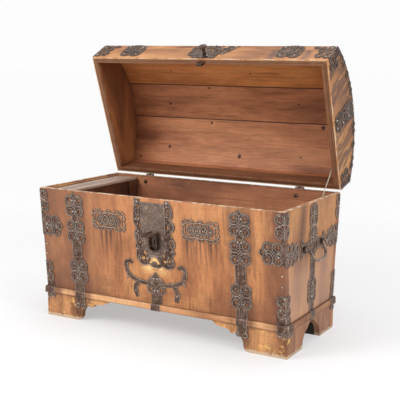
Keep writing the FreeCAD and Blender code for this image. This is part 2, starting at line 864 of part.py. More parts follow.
end_strap_outline = [
    ("26", "lid_rise - 8"),
    ("26", "180"),
    ("26", "90", "medallion", "135"),
    ("26", "14"),
    ("-26", "14"),
    ("-26", "90"),
    ("-26", "180", "-medallion", "135"),
    ("-26", "lid_rise - 8"),
]
for name, frame in (("lid_end_strap_left", LID_LEFT), ("lid_end_strap_right", LID_RIGHT)):
    node(name, prism(name, "XZ_Plane", end_strap_outline, "0", "plate", frame))

# The knob is turned about its own stem, which stands square out of the front board.
knob = doc.addObject("PartDesign::Body", "lid_knob")
knob_sketch = new_sketch(knob, "lid_knob_profile", "XZ_Plane")
draw(
    knob_sketch,
    [
        ("0", "0"),
        ("16", "0"),
        ("16", "2.5"),
        ("8", "6"),
        ("8", "33"),
        ("19.5", "43", "11.5", "40.6"),
        ("19.5", "46.5"),
        ("14", "52", "17.89", "50.39"),
        ("0", "55"),
    ],
)
knob_turn = knob.newObject("PartDesign::Revolution", "lid_knob_turned")
knob_turn.Profile = knob_sketch
knob_turn.ReferenceAxis = (knob_sketch, ["V_Axis"])
knob_turn.Angle = 360
OUTWARD = turn((1, 0, 0), 90)
knob.Placement = LID_FRONT.multiply(at("lock_place + 7", "-plate", "22", OUTWARD))
node("lid_knob", knob)

# The catch is a loop of iron that the bolt enters along X.
catch_block = box(
    "catch_block",
    ("lock_place - catch_width / 2", "catch_middle - catch_depth / 2", "-catch_length"),
    ("catch_width", "catch_depth", "catch_length + 25"),
    CLOSED,
)
catch_eye = box(
    "catch_eye",
    ("lock_place - catch_width / 2 - 1", "catch_middle - bolt_depth / 2 - 0.5", "6 - catch_length"),
    ("catch_width + 2", "bolt_depth + 1", "bolt_height + 1"),
    CLOSED,
)
node("lid_catch", cut("lid_catch", catch_block, [catch_eye]))


# ---------------------------------------------------------------------------------------------------------
# Front mounts
# ---------------------------------------------------------------------------------------------------------

# Heights of the strap's three medallions, from the top, and of its pointed tip.
STRAP_TIP = "(rim_height - 9)"
MEDALLIONS = (("586", "479"), ("479", "362"), ("288", "174"))


def cap_section(side, proud, foot):
    """Cross-section of a band that steps out over a moulding, from the board down to the plinth."""
    face = "base_depth / 2" if proud == "moulding_proud" else "plinth_length / 2"
    above = half_depth("moulding_top + 8") if proud == "moulding_proud" else "rim_width / 2"
    out = f"({face} + {proud})"
    top = "(moulding_top + 8)"
    return [
        (f"{side} * {above}", top),
        (f"{side} * {above if proud != 'moulding_proud' else half_depth('moulding_top')}", "moulding_top"),
        (f"{side} * {out}", "moulding_top"),
        (f"{side} * {out}", "moulding_bottom"),
        (f"{side} * {face}", "moulding_bottom"),
        (f"{side} * {face}", foot),
        (f"{side} * ({face} + plate)", foot),
        (f"{side} * ({face} + plate)", "moulding_bottom - plate"),
        (f"{side} * ({out} + plate)", "moulding_bottom - plate"),
        (f"{side} * ({out} + plate)", "moulding_top + plate"),
        (f"{side} * ({above} + plate)", "moulding_top + plate"),
        (f"{side} * ({above} + plate)", top),
    ]


def long_cap(name, side, start, width, foot):
    return prism(name, "YZ_Plane", cap_section(side, "moulding_proud", foot), start, width)


def end_cap(name, side, start, width, foot):
    return prism(name, "XZ_Plane", cap_section(side, "moulding_proud / 2", foot), start, width)


def front_strap(name, place):
    half = [("0", STRAP_TIP), ("strap_neck", "586", "10", "590")]
    for high, low in MEDALLIONS:
        if half[-1][1] != high:
            half.append(("strap_neck", high))
        half.append(("strap_neck", low, "medallion", f"({high} + {low}) / 2"))
    half.append(("strap_neck", "moulding_top + 2"))
    frame = FRONT.multiply(at(place, "0", "0"))
    band = prism(f"{name}_band", "XZ_Plane", mirrored(half), "0", "plate", frame)
    cap = long_cap(f"{name}_cap", -1, f"{place} - strap_neck", "2 * strap_neck", "56")
    return fuse(name, [band, cap])


STRAPS = {"front_strap_left": "-415", "front_strap_right": "405"}
for name, place in STRAPS.items():
    node(name, front_strap(name, place))

CARTOUCHES = {"cartouche_left": "-232", "cartouche_right": "225"}
CARTOUCHE_HALF = [
    ("0", "534"),
    ("62", "528", "32", "542"),
    ("62", "454", "88", "491"),
    ("0", "450", "30", "441"),
]
for name, place in CARTOUCHES.items():
    frame = FRONT.multiply(at(place, "0", "0"))
    node(name, prism(name, "XZ_Plane", mirrored(CARTOUCHE_HALF), "0", "plate", frame))

# The lock plate leaves a strip of the board bare above its plain middle.
LOCK_OUTLINE = [
    ("-94", "602"),
    ("-66", "602"),
    ("-66", "587"),
    ("58", "587"),
    ("58", "602"),
    ("92", "602"),
    ("94", "372"),
    ("30", "322", "92", "328"),
    ("-36", "322", "-4", "300"),
    ("-96", "372", "-88", "326"),
]
node("lock_plate", prism("lock_plate", "XZ_Plane", LOCK_OUTLINE, "0", "plate", FRONT))

# The anchor-shaped mount: a crown, a hooked arm and a leg on each side, and a tail down to the moulding.
SCROLL_HALF = [
    ("0", "284"),
    ("45", "250"),
    ("50", "240"),
    ("118", "250", "84", "244"),
    ("138", "282", "134", "262"),
    ("112", "314", "133", "304"),
    ("118", "328"),
    ("165", "276", "156", "314"),
    ("112", "230", "150", "240"),
    ("120", "186", "122", "206"),
    ("98", "150"),
    ("90", "190", "99", "170"),
    ("76", "224"),
    ("45", "218"),
    ("28", "182", "44", "196"),
    ("28", "moulding_top + 2"),
    ("0", "moulding_top + 2"),
]
SCROLL_FRAME = FRONT.multiply(at("-5", "0", "0"))
node("scroll_mount", prism("scroll_mount", "XZ_Plane", mirrored(SCROLL_HALF), "0", "plate", SCROLL_FRAME))


# ---------------------------------------------------------------------------------------------------------
# Lock
# ---------------------------------------------------------------------------------------------------------

lock_hollow = lock_box("lock_hollow", "lock_shell")
node("lock_case", cut("lock_case", lock_box("lock_block", "0"), [lock_hollow, catch_slot("case_slot")]))

BOLT_START = "(lock_place + catch_width / 2 + 3)"
lock_bolt = box(
    "lock_bolt",
    (BOLT_START, "catch_middle - bolt_depth / 2", f"{LID_BOTTOM} + 6.5 - catch_length"),
    ("bolt_length", "bolt_depth", "bolt_height"),
)
node("lock_bolt", lock_bolt)

guide_outline = [
    ("-guide_half", "guide_top"),
    ("-guide_half", "guide_straight"),
    ("guide_half", "guide_straight", "0", "guide_straight - guide_half"),
    ("guide_half", "guide_top"),
    ("guide_half - guide_bar", "guide_top"),
    ("guide_half - guide_bar", "guide_straight"),
    ("guide_bar - guide_half", "guide_straight", "0", "guide_straight - guide_half + guide_bar"),
    ("guide_bar - guide_half", "guide_top"),
]
KEY = FRONT.multiply(at("lock_place", "0", "0"))
guide_wall = prism("guide_wall", "XZ_Plane", guide_outline, "plate", "guide_proud", KEY)
ears = []
for side in (-1, 1):
    ears.append(
        box(
            f"guide_ear_{side + 1}",
            (f"{side} * (guide_half - 3) - 3", "-cover_out - 3.5", "guide_top - 2"),
            ("6", "cover_out + 3.5 - plate", "cover_axis + 4 - guide_top + 2"),
            KEY,
        )
    )
cover_axis = KEY.multiply(at("-guide_half", "-cover_out", "cover_axis", ALONG_X))
guide_bore = cylinder("guide_bore", "cover_pin_radius", "2 * guide_half", cover_axis)
node("key_guide", cut("key_guide", fuse("guide_blank", [guide_wall] + ears), [guide_bore]))
cover_pin_bar = cylinder("cover_pin", "cover_pin_radius", "2 * guide_half", cover_axis)
node("cover_pin", cover_pin_bar)

# The raised flap stands straight out of the plate: a neck at the hinge, a broad shield and a forked tip.
flap_half = [
    ("12", "-cover_out"),
    ("12", "-cover_out - 9"),
    ("cover_half", "-cover_out - 16"),
    ("cover_half", "-cover_out - 44"),
    ("9", "-cover_out - cover_length", "17", "-cover_out - 57"),
    ("0", "-cover_out - 52", "7", "-cover_out - 54"),
]
flap = prism("cover_flap", "XY_Plane", mirrored(flap_half), "cover_axis - 1", "2", KEY)
knuckle_frame = KEY.multiply(at("-12", "-cover_out", "cover_axis", ALONG_X))
flap_knuckle = cylinder("cover_knuckle", "2 * cover_pin_radius", "24", knuckle_frame)
flap_bore = cylinder("cover_bore", "cover_pin_radius + 0.05", "2 * guide_half", cover_axis)
node("keyhole_cover", cut("keyhole_cover", fuse("cover_blank", [flap, flap_knuckle]), [flap_bore]))


# ---------------------------------------------------------------------------------------------------------
# Corner mounts and end straps
# ---------------------------------------------------------------------------------------------------------

# Each corner iron: heights of its bottom and top, and how far it reaches along the front and the end.
CORNER_IRONS = (
    ("upper", "492", "602", "44", "42"),
    ("cross", "384", "484", "118", "150"),
    ("lower", "148", "262", "44", "42"),
)


def corner_iron(name, side, face, low, high, front_reach, end_reach):
    """Two legs that meet round a corner of the carcass."""
    long_frame = FRONT if face < 0 else BACK
    long_side = side if face < 0 else -side
    middle = f"({low} + {high}) / 2"
    edge = "(rim_width / 2 + plate)"
    tip = f"({edge} - {front_reach})"
    long_leg = [
        (f"{long_side} * {edge}", low),
        (f"{long_side} * {edge}", high),
        (f"{long_side} * ({tip} + 16)", high),
        (f"{long_side} * ({tip} + 16)", low, f"{long_side} * {tip}", middle),
    ]
    leg = prism(f"{name}_long", "XZ_Plane", long_leg, "0", "plate", long_frame)
    end_leg = [
        (f"{face} * {half_depth(low)}", low),
        (f"{face} * {half_depth(high)}", high),
        (f"{face} * ({half_depth(high)} - {end_reach} + 16)", high),
        (
            f"{face} * ({half_depth(low)} - {end_reach} + 16)",
            low,
            f"{face} * ({half_depth(middle)} - {end_reach})",
            middle,
        ),
    ]
    start = "rim_width / 2" if side > 0 else "-rim_width / 2 - plate"
    end = prism(f"{name}_end", "YZ_Plane", end_leg, start, "plate")
    return fuse(f"{name}_iron", [leg, end])


def corner_cap(name, side, face):
    """The band round the corner of the moulding and the top of the plinth."""
    long_start = "plinth_length / 2 - cap_reach" if side > 0 else f"-{MOULDING_END} - plate"
    long_reach = f"{MOULDING_END} + plate + cap_reach - plinth_length / 2"
    pieces = [long_cap(f"{name}_long", face, long_start, long_reach, "cap_foot")]
    end_start = f"{MOULDING_OUT} - cap_reach" if face < 0 else f"-{MOULDING_OUT}"
    pieces.append(end_cap(f"{name}_end", side, end_start, "cap_reach", "cap_foot"))
    plinth = box(
        f"{name}_plinth",
        ("-plinth_length / 2", "-base_depth / 2", "0"),
        ("plinth_length", "base_depth", "moulding_bottom"),
    )
    moulding = box(
        f"{name}_moulding",
        (f"-{MOULDING_END}", f"-{MOULDING_OUT}", "moulding_bottom"),
        (f"2 * {MOULDING_END}", f"2 * {MOULDING_OUT}", "moulding_top - moulding_bottom"),
    )
    carcass = box(
        f"{name}_carcass",
        ("-rim_width / 2", f"-{half_depth('moulding_top')}", "moulding_top"),
        ("rim_width", f"2 * {half_depth('moulding_top')}", "20"),
    )
    return cut(f"{name}_cap", fuse(f"{name}_blank", pieces), [plinth, moulding, carcass])


def corner_mounts(name, side, face):
    pieces = []
    for part, low, high, front_reach, end_reach in CORNER_IRONS:
        pieces.append(corner_iron(f"{name}_{part}", side, face, low, high, front_reach, end_reach))
    pieces.append(corner_cap(name, side, face))
    return group(name, pieces)


for name, side, face in (
    ("corner_mounts_front_left", -1, -1),
    ("corner_mounts_front_right", 1, -1),
    ("corner_mounts_rear_left", -1, 1),
    ("corner_mounts_rear_right", 1, 1),
):
    node(name, corner_mounts(name, side, face))


def end_strap(name, side, frame):
    """The upright strap of an end, its arms out to the handle eyes and its cap over the moulding."""
    half = [
        ("strap_neck", "rim_height"),
        ("strap_neck", "500", "medallion", "552"),
        ("strap_neck", "447", "medallion - 4", "476"),
        ("112", "447"),
        ("112", "403"),
        ("strap_neck", "403"),
        ("strap_neck", "282"),
        ("strap_neck", "174", "medallion", "228"),
        ("strap_neck", "moulding_top + 2"),
    ]
    band = prism(f"{name}_band", "XZ_Plane", mirrored(half), "0", "plate", frame)
    cap = end_cap(f"{name}_cap", side, "-strap_neck", "2 * strap_neck", "106")
    return fuse(name, [band, cap])


node("end_strap_left", end_strap("end_strap_left", -1, LEFT))
node("end_strap_right", end_strap("end_strap_right", 1, RIGHT))


# ---------------------------------------------------------------------------------------------------------
# Bail handles
# ---------------------------------------------------------------------------------------------------------


def handle_eyes(name, frame):
    """Two lugs with a bore along the end."""
    lugs = []
    bore_start = frame.multiply(at("-eye_place - eye_width", "-eye_out", "eye_level", ALONG_X))
    for side in (-1, 1):
        outline = [
            ("-plate", "eye_level - 14"),
            ("-plate", "eye_level + 14"),
            ("-eye_out", "eye_level + 10"),
            ("-eye_out", "eye_level - 10", "-eye_reach", "eye_level"),
        ]
        start = f"{side} * eye_place - eye_width / 2"
        lug = prism(f"{name}_lug_{side + 1}", "YZ_Plane", outline, start, "eye_width", frame)
        bore_length = "2 * (eye_place + eye_width)"
        bore = cylinder(f"{name}_bore_{side + 1}", "bail_radius + bail_play", bore_length, bore_start)
        lugs.append(cut(f"{name}_eye_{side + 1}", lug, [bore]))
    return group(name, lugs)


def bail(name, frame):
    """A round bar bent to a U, with its ends through the eyes and a ball beyond each."""
    body = doc.addObject("PartDesign::Body", f"{name}_bar")
    spine = new_sketch(body, f"{name}_spine", "XZ_Plane")
    elbow = "bail_arm + bail_elbow"
    low = "-bail_drop + bail_corner"
    cosine = "0.70710678"
    right_half = [
        ("bail_end", "0"),
        (elbow, "0"),
        ("bail_arm", "-bail_elbow", f"{elbow} - bail_elbow * {cosine}", f"bail_elbow * ({cosine} - 1)"),
        ("bail_arm", low),
        (
            "bail_arm - bail_corner",
            "-bail_drop",
            f"bail_arm - bail_corner * (1 - {cosine})",
            f"-bail_drop + bail_corner * (1 - {cosine})",
        ),
    ]
    draw(spine, mirrored(right_half), closed=False)
    section = new_sketch(body, f"{name}_section", "YZ_Plane", "bail_end")
    upward = FreeCAD.Vector(0, 0, 1)
    circle = section.addGeometry(Part.Circle(FreeCAD.Vector(), upward, number("bail_radius")), False)
    section.addConstraint(Sketcher.Constraint("Coincident", circle, 3, -1, 1))
    rule = section.addConstraint(Sketcher.Constraint("Radius", circle, number("bail_radius")))
    section.setExpression(f"Constraints[{rule}]", bound("bail_radius"))
    pipe = body.newObject("PartDesign::AdditivePipe", f"{name}_pipe")
    pipe.Profile = section
    pipe.Spine = (spine, [])
    body.Placement = frame
    balls = []
    for side in (-1, 1):
        ball = doc.addObject("Part::Sphere", f"{name}_ball_{side + 1}")
        ball.setExpression("Radius", bound("bail_radius + 2"))
        ball.Placement = frame.multiply(at(f"{side} * (bail_end + 1)", "0", "0"))
        balls.append(ball)
    return fuse(name, [body] + balls)


TILT = turn((1, 0, 0), -number("bail_tilt"))
for side, frame in (("left", LEFT), ("right", RIGHT)):
    node(f"handle_eyes_{side}", handle_eyes(f"handle_eyes_{side}", frame))
    node(f"{side}_handle", bail(f"{side}_handle", frame.multiply(at("0", "-eye_out", "eye_level", TILT))))


# ---------------------------------------------------------------------------------------------------------
# Stay cord and its staples
# ---------------------------------------------------------------------------------------------------------

STAPLE_OUT = "(staple_radius + 2)"


def staple(name, frame):
    """An eye on a short shank. The frame's -Y points out of the wood and its origin lies on it."""
    ring = doc.addObject("Part::Torus", f"{name}_ring")
    ring.setExpression("Radius1", bound("staple_radius"))
    ring.setExpression("Radius2", bound("staple_wire"))
    ring.Placement = frame.multiply(at("0", f"-{STAPLE_OUT}", "0"))
    shank = cylinder(f"{name}_shank", "staple_wire", "3", frame.multiply(at("0", "0", "0", OUTWARD)))
    return fuse(name, [ring, shank])


INWARD = turn((0, 0, 1), -90)
LID_INNER_END = "(rim_width / 2 - lid_end_wall)"
low_eye = at(INNER_END, "stay_depth", "stay_level", INWARD)
high_eye = CLOSED.multiply(at(LID_INNER_END, "stay_lid_depth", "stay_lid_level", INWARD))
low_point = low_eye.multVec(vector("0", f"-{STAPLE_OUT}", "0"))
high_point = high_eye.multVec(vector("0", f"-{STAPLE_OUT}", "0"))
run = high_point - low_point
along_cord = FreeCAD.Rotation(FreeCAD.Vector(0, 0, 1), run)
for name, eye in (("stay_staple_chest", low_eye), ("stay_staple_lid", high_eye)):
    node(name, staple(name, FreeCAD.Placement(eye.Base, along_cord.multiply(INWARD))))
cord = doc.addObject("Part::Cylinder", "stay_cord")
cord.setExpression("Radius", bound("cord_radius"))
cord.Height = run.Length
cord.Placement = FreeCAD.Placement(low_point, along_cord)
node("stay_cord", cord)


# ---------------------------------------------------------------------------------------------------------
# Nails
# ---------------------------------------------------------------------------------------------------------


def nail_row(heads, name, frame, places, depth="-plate"):
    """Add a domed head at each (x, z) of a face, on a plate or, at a depth of 0, on the wood."""
    for x, z in places:
        heads.append(dome(f"{name}_nail_{len(heads)}", "nail_radius", frame.multiply(at(x, depth, z))))


# Nails of one strap, each pair at (half the distance between them, height), and those of the other mounts.
STRAP_NAILS = ((8.5, 563), (8.5, 512), (8, 464), (8.5, 387), (22, 266), (9.5, 200))
CARTOUCHE_NAILS = {
    "cartouche_left": ((75, 466), (60, 459), (-77, 483), (-66, 462)),
    "cartouche_right": ((-79, 512), (77, 512)),
}
LOCK_NAILS = (
    *((-78, 590), (-88, 511), (-74, 514), (-80, 460), (-89, 449), (-85, 402), (-88, 381), (-75, 338)),
    *((69, 595), (68, 577), (66, 534), (65, 510), (70, 458), (86, 447), (80, 418), (84, 383)),
    *((60, 338), (32, 358), (-18, 348)),
)
SCROLL_NAILS = (
    *((-140, 306), (138, 306), (-104, 187), (104, 187)),
    *((-8, 199), (8, 199), (-8, 253), (8, 253)),
)
CORNER_NAILS = (
    *((580, 592), (591, 515), (522, 443), (522, 428), (576, 440), (575, 421), (492, 438)),
    *((598, 251), (579, 201), (598, 186)),
)
BARE_NAILS = ((588, 344), (588, 298))
END_NAILS = [(side * 9, z) for side in (-1, 1) for z in (564, 512, 458, 250, 204)]

chest_heads = []
for place in STRAPS.values():
    strap_frame = FRONT.multiply(at(place, "0", "0"))
    pairs = [(side * half, z) for half, z in STRAP_NAILS for side in (-1, 1)]
    nail_row(chest_heads, "chest", strap_frame, pairs)
for name, place in CARTOUCHES.items():
    nail_row(chest_heads, "chest", FRONT.multiply(at(place, "0", "0")), CARTOUCHE_NAILS[name])
nail_row(chest_heads, "chest", FRONT, LOCK_NAILS)
nail_row(chest_heads, "chest", SCROLL_FRAME, SCROLL_NAILS)
for frame in (LEFT, RIGHT):
    nail_row(chest_heads, "chest", frame, END_NAILS)
for frame in (FRONT, BACK):
    for side in (-1, 1):
        nail_row(chest_heads, "chest", frame, [(side * x, z) for x, z in CORNER_NAILS])
        nail_row(chest_heads, "chest", frame, [(side * x, z) for x, z in BARE_NAILS], "0")
node("chest_nails", group("chest_nails", chest_heads))

lid_heads = []
for place in ("-hinge_place", "hinge_place"):
    medallion_frame = LID_FRONT.multiply(at(place, "0", "0"))
    nail_row(lid_heads, "lid", medallion_frame, [(x, z) for x in (-34, 34) for z in (36, 104)])
nail_row(lid_heads, "lid", LID_FRONT, [(x, z) for x in (-64, 88) for z in (40, 100)])
for frame in (LID_FRONT, LID_BACK):
    nail_row(lid_heads, "lid", frame, [(side * 586, level) for side in (-1, 1) for level in (26, 104)])
for frame in (LID_LEFT, LID_RIGHT):
    nail_row(lid_heads, "lid", frame, [(x, z) for x in (-18, 18) for z in (30, 98, 172, 228)])
node("lid_nails", group("lid_nails", lid_heads))


# ---------------------------------------------------------------------------------------------------------
# Checks and export
# ---------------------------------------------------------------------------------------------------------

doc.recompute()
for thing in doc.Objects:
    if "Invalid" in thing.State or "Error" in thing.State:
        raise RuntimeError(f"{thing.Label}: {thing.State}")
for name, thing in nodes.items():
    if thing.Shape.isNull() or not thing.Shape.isValid():
        raise RuntimeError(f"{name} has no valid shape")
    if not thing.Shape.Solids:
        raise RuntimeError(f"{name} has no solid")

os.makedirs("parts", exist_ok=True)
for name, thing in nodes.items():
    thing.Shape.exportStep(f"parts/{name}.step")
print(f"{len(nodes)} nodes; cord {run.Length:.1f} mm")
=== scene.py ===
import bisect
import functools
import json
import math

import bmesh
import bpy
from mathutils import Matrix, Vector, noise
from mathutils.geometry import tessellate_polygon

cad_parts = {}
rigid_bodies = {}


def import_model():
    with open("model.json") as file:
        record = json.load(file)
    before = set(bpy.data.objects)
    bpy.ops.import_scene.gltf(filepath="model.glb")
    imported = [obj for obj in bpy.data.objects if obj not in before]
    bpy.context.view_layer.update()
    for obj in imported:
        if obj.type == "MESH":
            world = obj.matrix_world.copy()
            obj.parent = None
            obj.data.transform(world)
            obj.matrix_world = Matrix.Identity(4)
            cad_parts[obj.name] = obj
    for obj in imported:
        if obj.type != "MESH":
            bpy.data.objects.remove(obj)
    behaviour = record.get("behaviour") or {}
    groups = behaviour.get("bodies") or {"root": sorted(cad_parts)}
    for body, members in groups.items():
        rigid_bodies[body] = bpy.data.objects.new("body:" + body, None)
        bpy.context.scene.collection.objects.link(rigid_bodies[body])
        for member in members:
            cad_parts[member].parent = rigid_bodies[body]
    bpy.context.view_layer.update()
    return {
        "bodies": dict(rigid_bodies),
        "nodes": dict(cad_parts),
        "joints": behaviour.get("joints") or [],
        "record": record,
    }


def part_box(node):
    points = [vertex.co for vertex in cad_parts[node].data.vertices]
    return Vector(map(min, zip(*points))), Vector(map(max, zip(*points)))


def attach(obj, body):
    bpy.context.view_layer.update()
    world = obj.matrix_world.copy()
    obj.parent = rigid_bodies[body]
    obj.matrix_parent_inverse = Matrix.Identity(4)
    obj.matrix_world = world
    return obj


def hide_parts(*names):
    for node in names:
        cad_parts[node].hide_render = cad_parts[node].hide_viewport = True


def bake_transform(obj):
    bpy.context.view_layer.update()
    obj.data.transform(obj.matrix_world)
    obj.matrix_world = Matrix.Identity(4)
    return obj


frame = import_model()

# --- Places of the chest, read from the frame ---
# Lengths are in metres, and in millimetres on a mount's own face.

MM = 0.001
BOTH = (-1, 1)
panel_low, panel_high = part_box("front_panel")
plinth_low, plinth_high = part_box("plinth_front")
moulding_low, moulding_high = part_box("base_moulding")
RIM = panel_high.z
HALF_WIDTH = panel_high.x
HALF_DEPTH = -panel_low.y
BASE_HALF = -plinth_low.y
PLINTH_TOP = plinth_high.z
PLINTH_HALF = plinth_high.x
LEAN = math.atan((HALF_DEPTH - BASE_HALF) / (RIM - PLINTH_TOP))
lid_joint = next(joint for joint in frame["joints"] if joint["name"] == "lid")
PIVOT = Vector(lid_joint["pos_m"])
LID_TURN = math.radians(lid_joint["range_deg"][0])
LID_GAP = 0.001
LID_SPRING = 0.130
LID_RISE = 0.250
LID_FLARE = 0.016
ARCH_HALF = HALF_DEPTH + LID_FLARE
ARCH_RISE = LID_RISE - LID_SPRING
ARCH_RADIUS = (ARCH_HALF ** 2 + ARCH_RISE ** 2) / (2 * ARCH_RISE)
# Where the inner side of the lid is jointed, from its middle.
SEAM = 0.0885
FRONT_STRAPS = ("front_strap_left", "front_strap_right")


def face_frame(yaw, half_depth, edge, lean):
    """A face's own frame: X along it, Z up it and -Y out of it, its zero a height `edge` under its edge."""
    turn = Matrix.Rotation(math.radians(yaw), 4, "Z")
    top = turn @ Vector((0, -half_depth, 0)) + Vector((0, 0, RIM))
    return Matrix.Translation(top) @ turn @ Matrix.Rotation(lean, 4, "X") @ Matrix.Translation((0, 0, -edge))


def middle_of(name):
    """A node's middle, across the chest."""
    low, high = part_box(name)
    return (low.x + high.x) / 2


HINGE = Matrix.Translation(PIVOT) @ Matrix.Rotation(LID_TURN, 4, "X")
OPEN = HINGE @ Matrix.Translation(-PIVOT)
FLARE = math.atan(LID_FLARE / LID_SPRING)
FRONT, BACK = (face_frame(yaw, HALF_DEPTH, RIM, LEAN) for yaw in (0, 180))
LEFT, RIGHT = (face_frame(yaw, HALF_WIDTH, RIM, 0) for yaw in (-90, 90))
LID_FRONT, LID_BACK = (OPEN @ face_frame(yaw, HALF_DEPTH, -LID_GAP, FLARE) for yaw in (0, 180))
LID_LEFT, LID_RIGHT = (OPEN @ face_frame(yaw, HALF_WIDTH, -LID_GAP, 0) for yaw in (-90, 90))

# --- Materials ---


def linear(*levels):
    """A colour written as 8-bit sRGB, as the shaders' linear values."""
    shares = [level / 255 for level in levels]
    return [share / 12.92 if share <= 0.04045 else ((share + 0.055) / 1.055) ** 2.4 for share in shares] + [1]


# How a board's grain runs: the scale of the pattern along each axis, small along the grain.
ALONG_X = Vector((0.05, 1, 1))
ALONG_Y = Vector((1, 0.05, 1))
ALONG_Z = Vector((1, 1, 0.05))
UPRIGHT = (0, 0, 0)
LID_UPRIGHT = (-LID_TURN, 0, 0)
# The crest mark of a disc painted black as the shade inside a small hollow.
PAINTED_HOLE = -1


class Shader:
    """A material with a Principled surface, and short ways to add the nodes of its pattern. A colour of
    three numbers is written as 8-bit sRGB."""

    def __init__(self, name):
        self.material = bpy.data.materials.new(name)
        self.material.use_nodes = True
        self.tree = self.material.node_tree
        self.surface = self.tree.nodes["Principled BSDF"]
        self.place = self.add("ShaderNodeTexCoord").outputs["Object"]

    def feed(self, socket, given):
        """Give a socket a link or a value."""
        if isinstance(given, bpy.types.NodeSocket):
            self.tree.links.new(given, socket)
        else:
            socket.default_value = linear(*given) if socket.type == "RGBA" and len(given) == 3 else given

    def add(self, kind, inputs=(), **settings):
        made = self.tree.nodes.new(kind)
        for key, setting in settings.items():
            setattr(made, key, setting)
        for key, given in dict(inputs).items():
            self.feed(made.inputs[key], given)
        return made

    def stretch(self, scale, offset=(0, 0, 0), turn=UPRIGHT):
        """The place, turned, shifted and scaled along each axis."""
        turned = self.place
        if any(turn):
            turned = self.add("ShaderNodeMapping", {"Vector": turned, "Rotation": turn}).outputs["Vector"]
        inputs = {"Vector": turned, "Scale": scale, "Location": offset}
        return self.add("ShaderNodeMapping", inputs).outputs["Vector"]

    def where(self, closed=False):
        """X, Y and Z of the place. For a lid's board, `closed` gives them as they are with the lid shut."""
        place = self.place
        if closed:
            shift = PIVOT - Matrix.Rotation(-LID_TURN, 3, "X") @ PIVOT
            inputs = {"Vector": place, "Rotation": LID_UPRIGHT, "Location": shift}
            place = self.add("ShaderNodeMapping", inputs).outputs["Vector"]
        return self.add("ShaderNodeSeparateXYZ", {"Vector": place}).outputs

    def fade(self, value, none, full):
        """0 where a value is at `none`, 1 where it is at `full`, and even between them."""
        inputs = {"Value": value, "From Min": none, "From Max": full}
        return self.add("ShaderNodeMapRange", inputs, clamp=True).outputs["Result"]

    def near(self, value, middle, half, soft):
        """1 within `half` of a middle, and 0 beyond `half + soft`."""
        return self.fade(self.size(self.less(value, middle)), half + soft, half)

    def maths(self, operation, first, second=0.0):
        return self.add("ShaderNodeMath", {0: first, 1: second}, operation=operation).outputs[0]

    def size(self, value):
        return self.maths("ABSOLUTE", value)

    def less(self, first, second):
        return self.maths("SUBTRACT", first, second)

    def plus(self, first, second):
        return self.maths("ADD", first, second)

    def times(self, *shares):
        return functools.reduce(functools.partial(self.maths, "MULTIPLY"), shares)

    def noise(self, vector, detail=4, rough=0.55, distortion=0):
        inputs = {"Vector": vector, "Scale": 1, "Detail": detail, "Roughness": rough}
        inputs["Distortion"] = distortion
        return self.add("ShaderNodeTexNoise", inputs).outputs["Fac"]

    def ramp(self, factor, *stops):
        """A colour ramp through (place, colour) stops. A colour may be a plain grey level."""
        made = self.add("ShaderNodeValToRGB", {"Fac": factor})
        points = made.color_ramp.elements
        while len(points) < len(stops):
            points.new(1)
        for point, (spot, colour) in zip(points, stops):
            point.position = spot
            point.color = linear(*colour) if isinstance(colour, tuple) else (colour, colour, colour, 1)
        return made.outputs["Color"]

    def cloud(self, scale, detail, rough, *stops):
        """A noise of some scale along each axis, through the stops of a ramp."""
        return self.ramp(self.noise(self.stretch(scale), detail, rough), *stops)

    def mix(self, factor, first, second, blend="MIX"):
        inputs = {0: factor, 6: first, 7: second}
        return self.add("ShaderNodeMix", inputs, data_type="RGBA", blend_type=blend).outputs[2]

    def shade(self, share, colour, factor, *stops):
        """A colour, darker or lighter by the stops of a ramp."""
        return self.mix(share, colour, self.ramp(factor, *stops), "MULTIPLY")

    def stain(self, colour, tone, *shares):
        """A colour with a tone over it, as strong as the product of the shares."""
        return self.mix(self.times(*shares), colour, tone)

    def occlusion_shade(self, distance, *stops):
        """Painted shade where surfaces meet, read from ambient occlusion."""
        inputs = {"Distance": distance}
        return self.ramp(self.add("ShaderNodeAmbientOcclusion", inputs, samples=6).outputs["AO"], *stops)

    def bump(self, height, distance, strength=1.0):
        inputs = {"Height": height, "Distance": distance, "Strength": strength}
        self.set(Normal=self.add("ShaderNodeBump", inputs).outputs["Normal"])

    def set(self, **inputs):
        """Give the surface's own sockets their values or links."""
        for key, given in inputs.items():
            self.feed(self.surface.inputs[key.replace("_", " ")], given)

    def below_arch(self):
        """How deep a place lies under the outside of the lid's arch."""
        _, depth, up = self.where(closed=True)
        inputs = {"X": depth, "Y": self.less(up, RIM + LID_RISE - ARCH_RADIUS)}
        flat = self.add("ShaderNodeCombineXYZ", inputs).outputs["Vector"]
        reach = self.add("ShaderNodeVectorMath", {0: flat}, operation="LENGTH").outputs["Value"]
        return self.less(ARCH_RADIUS, reach)


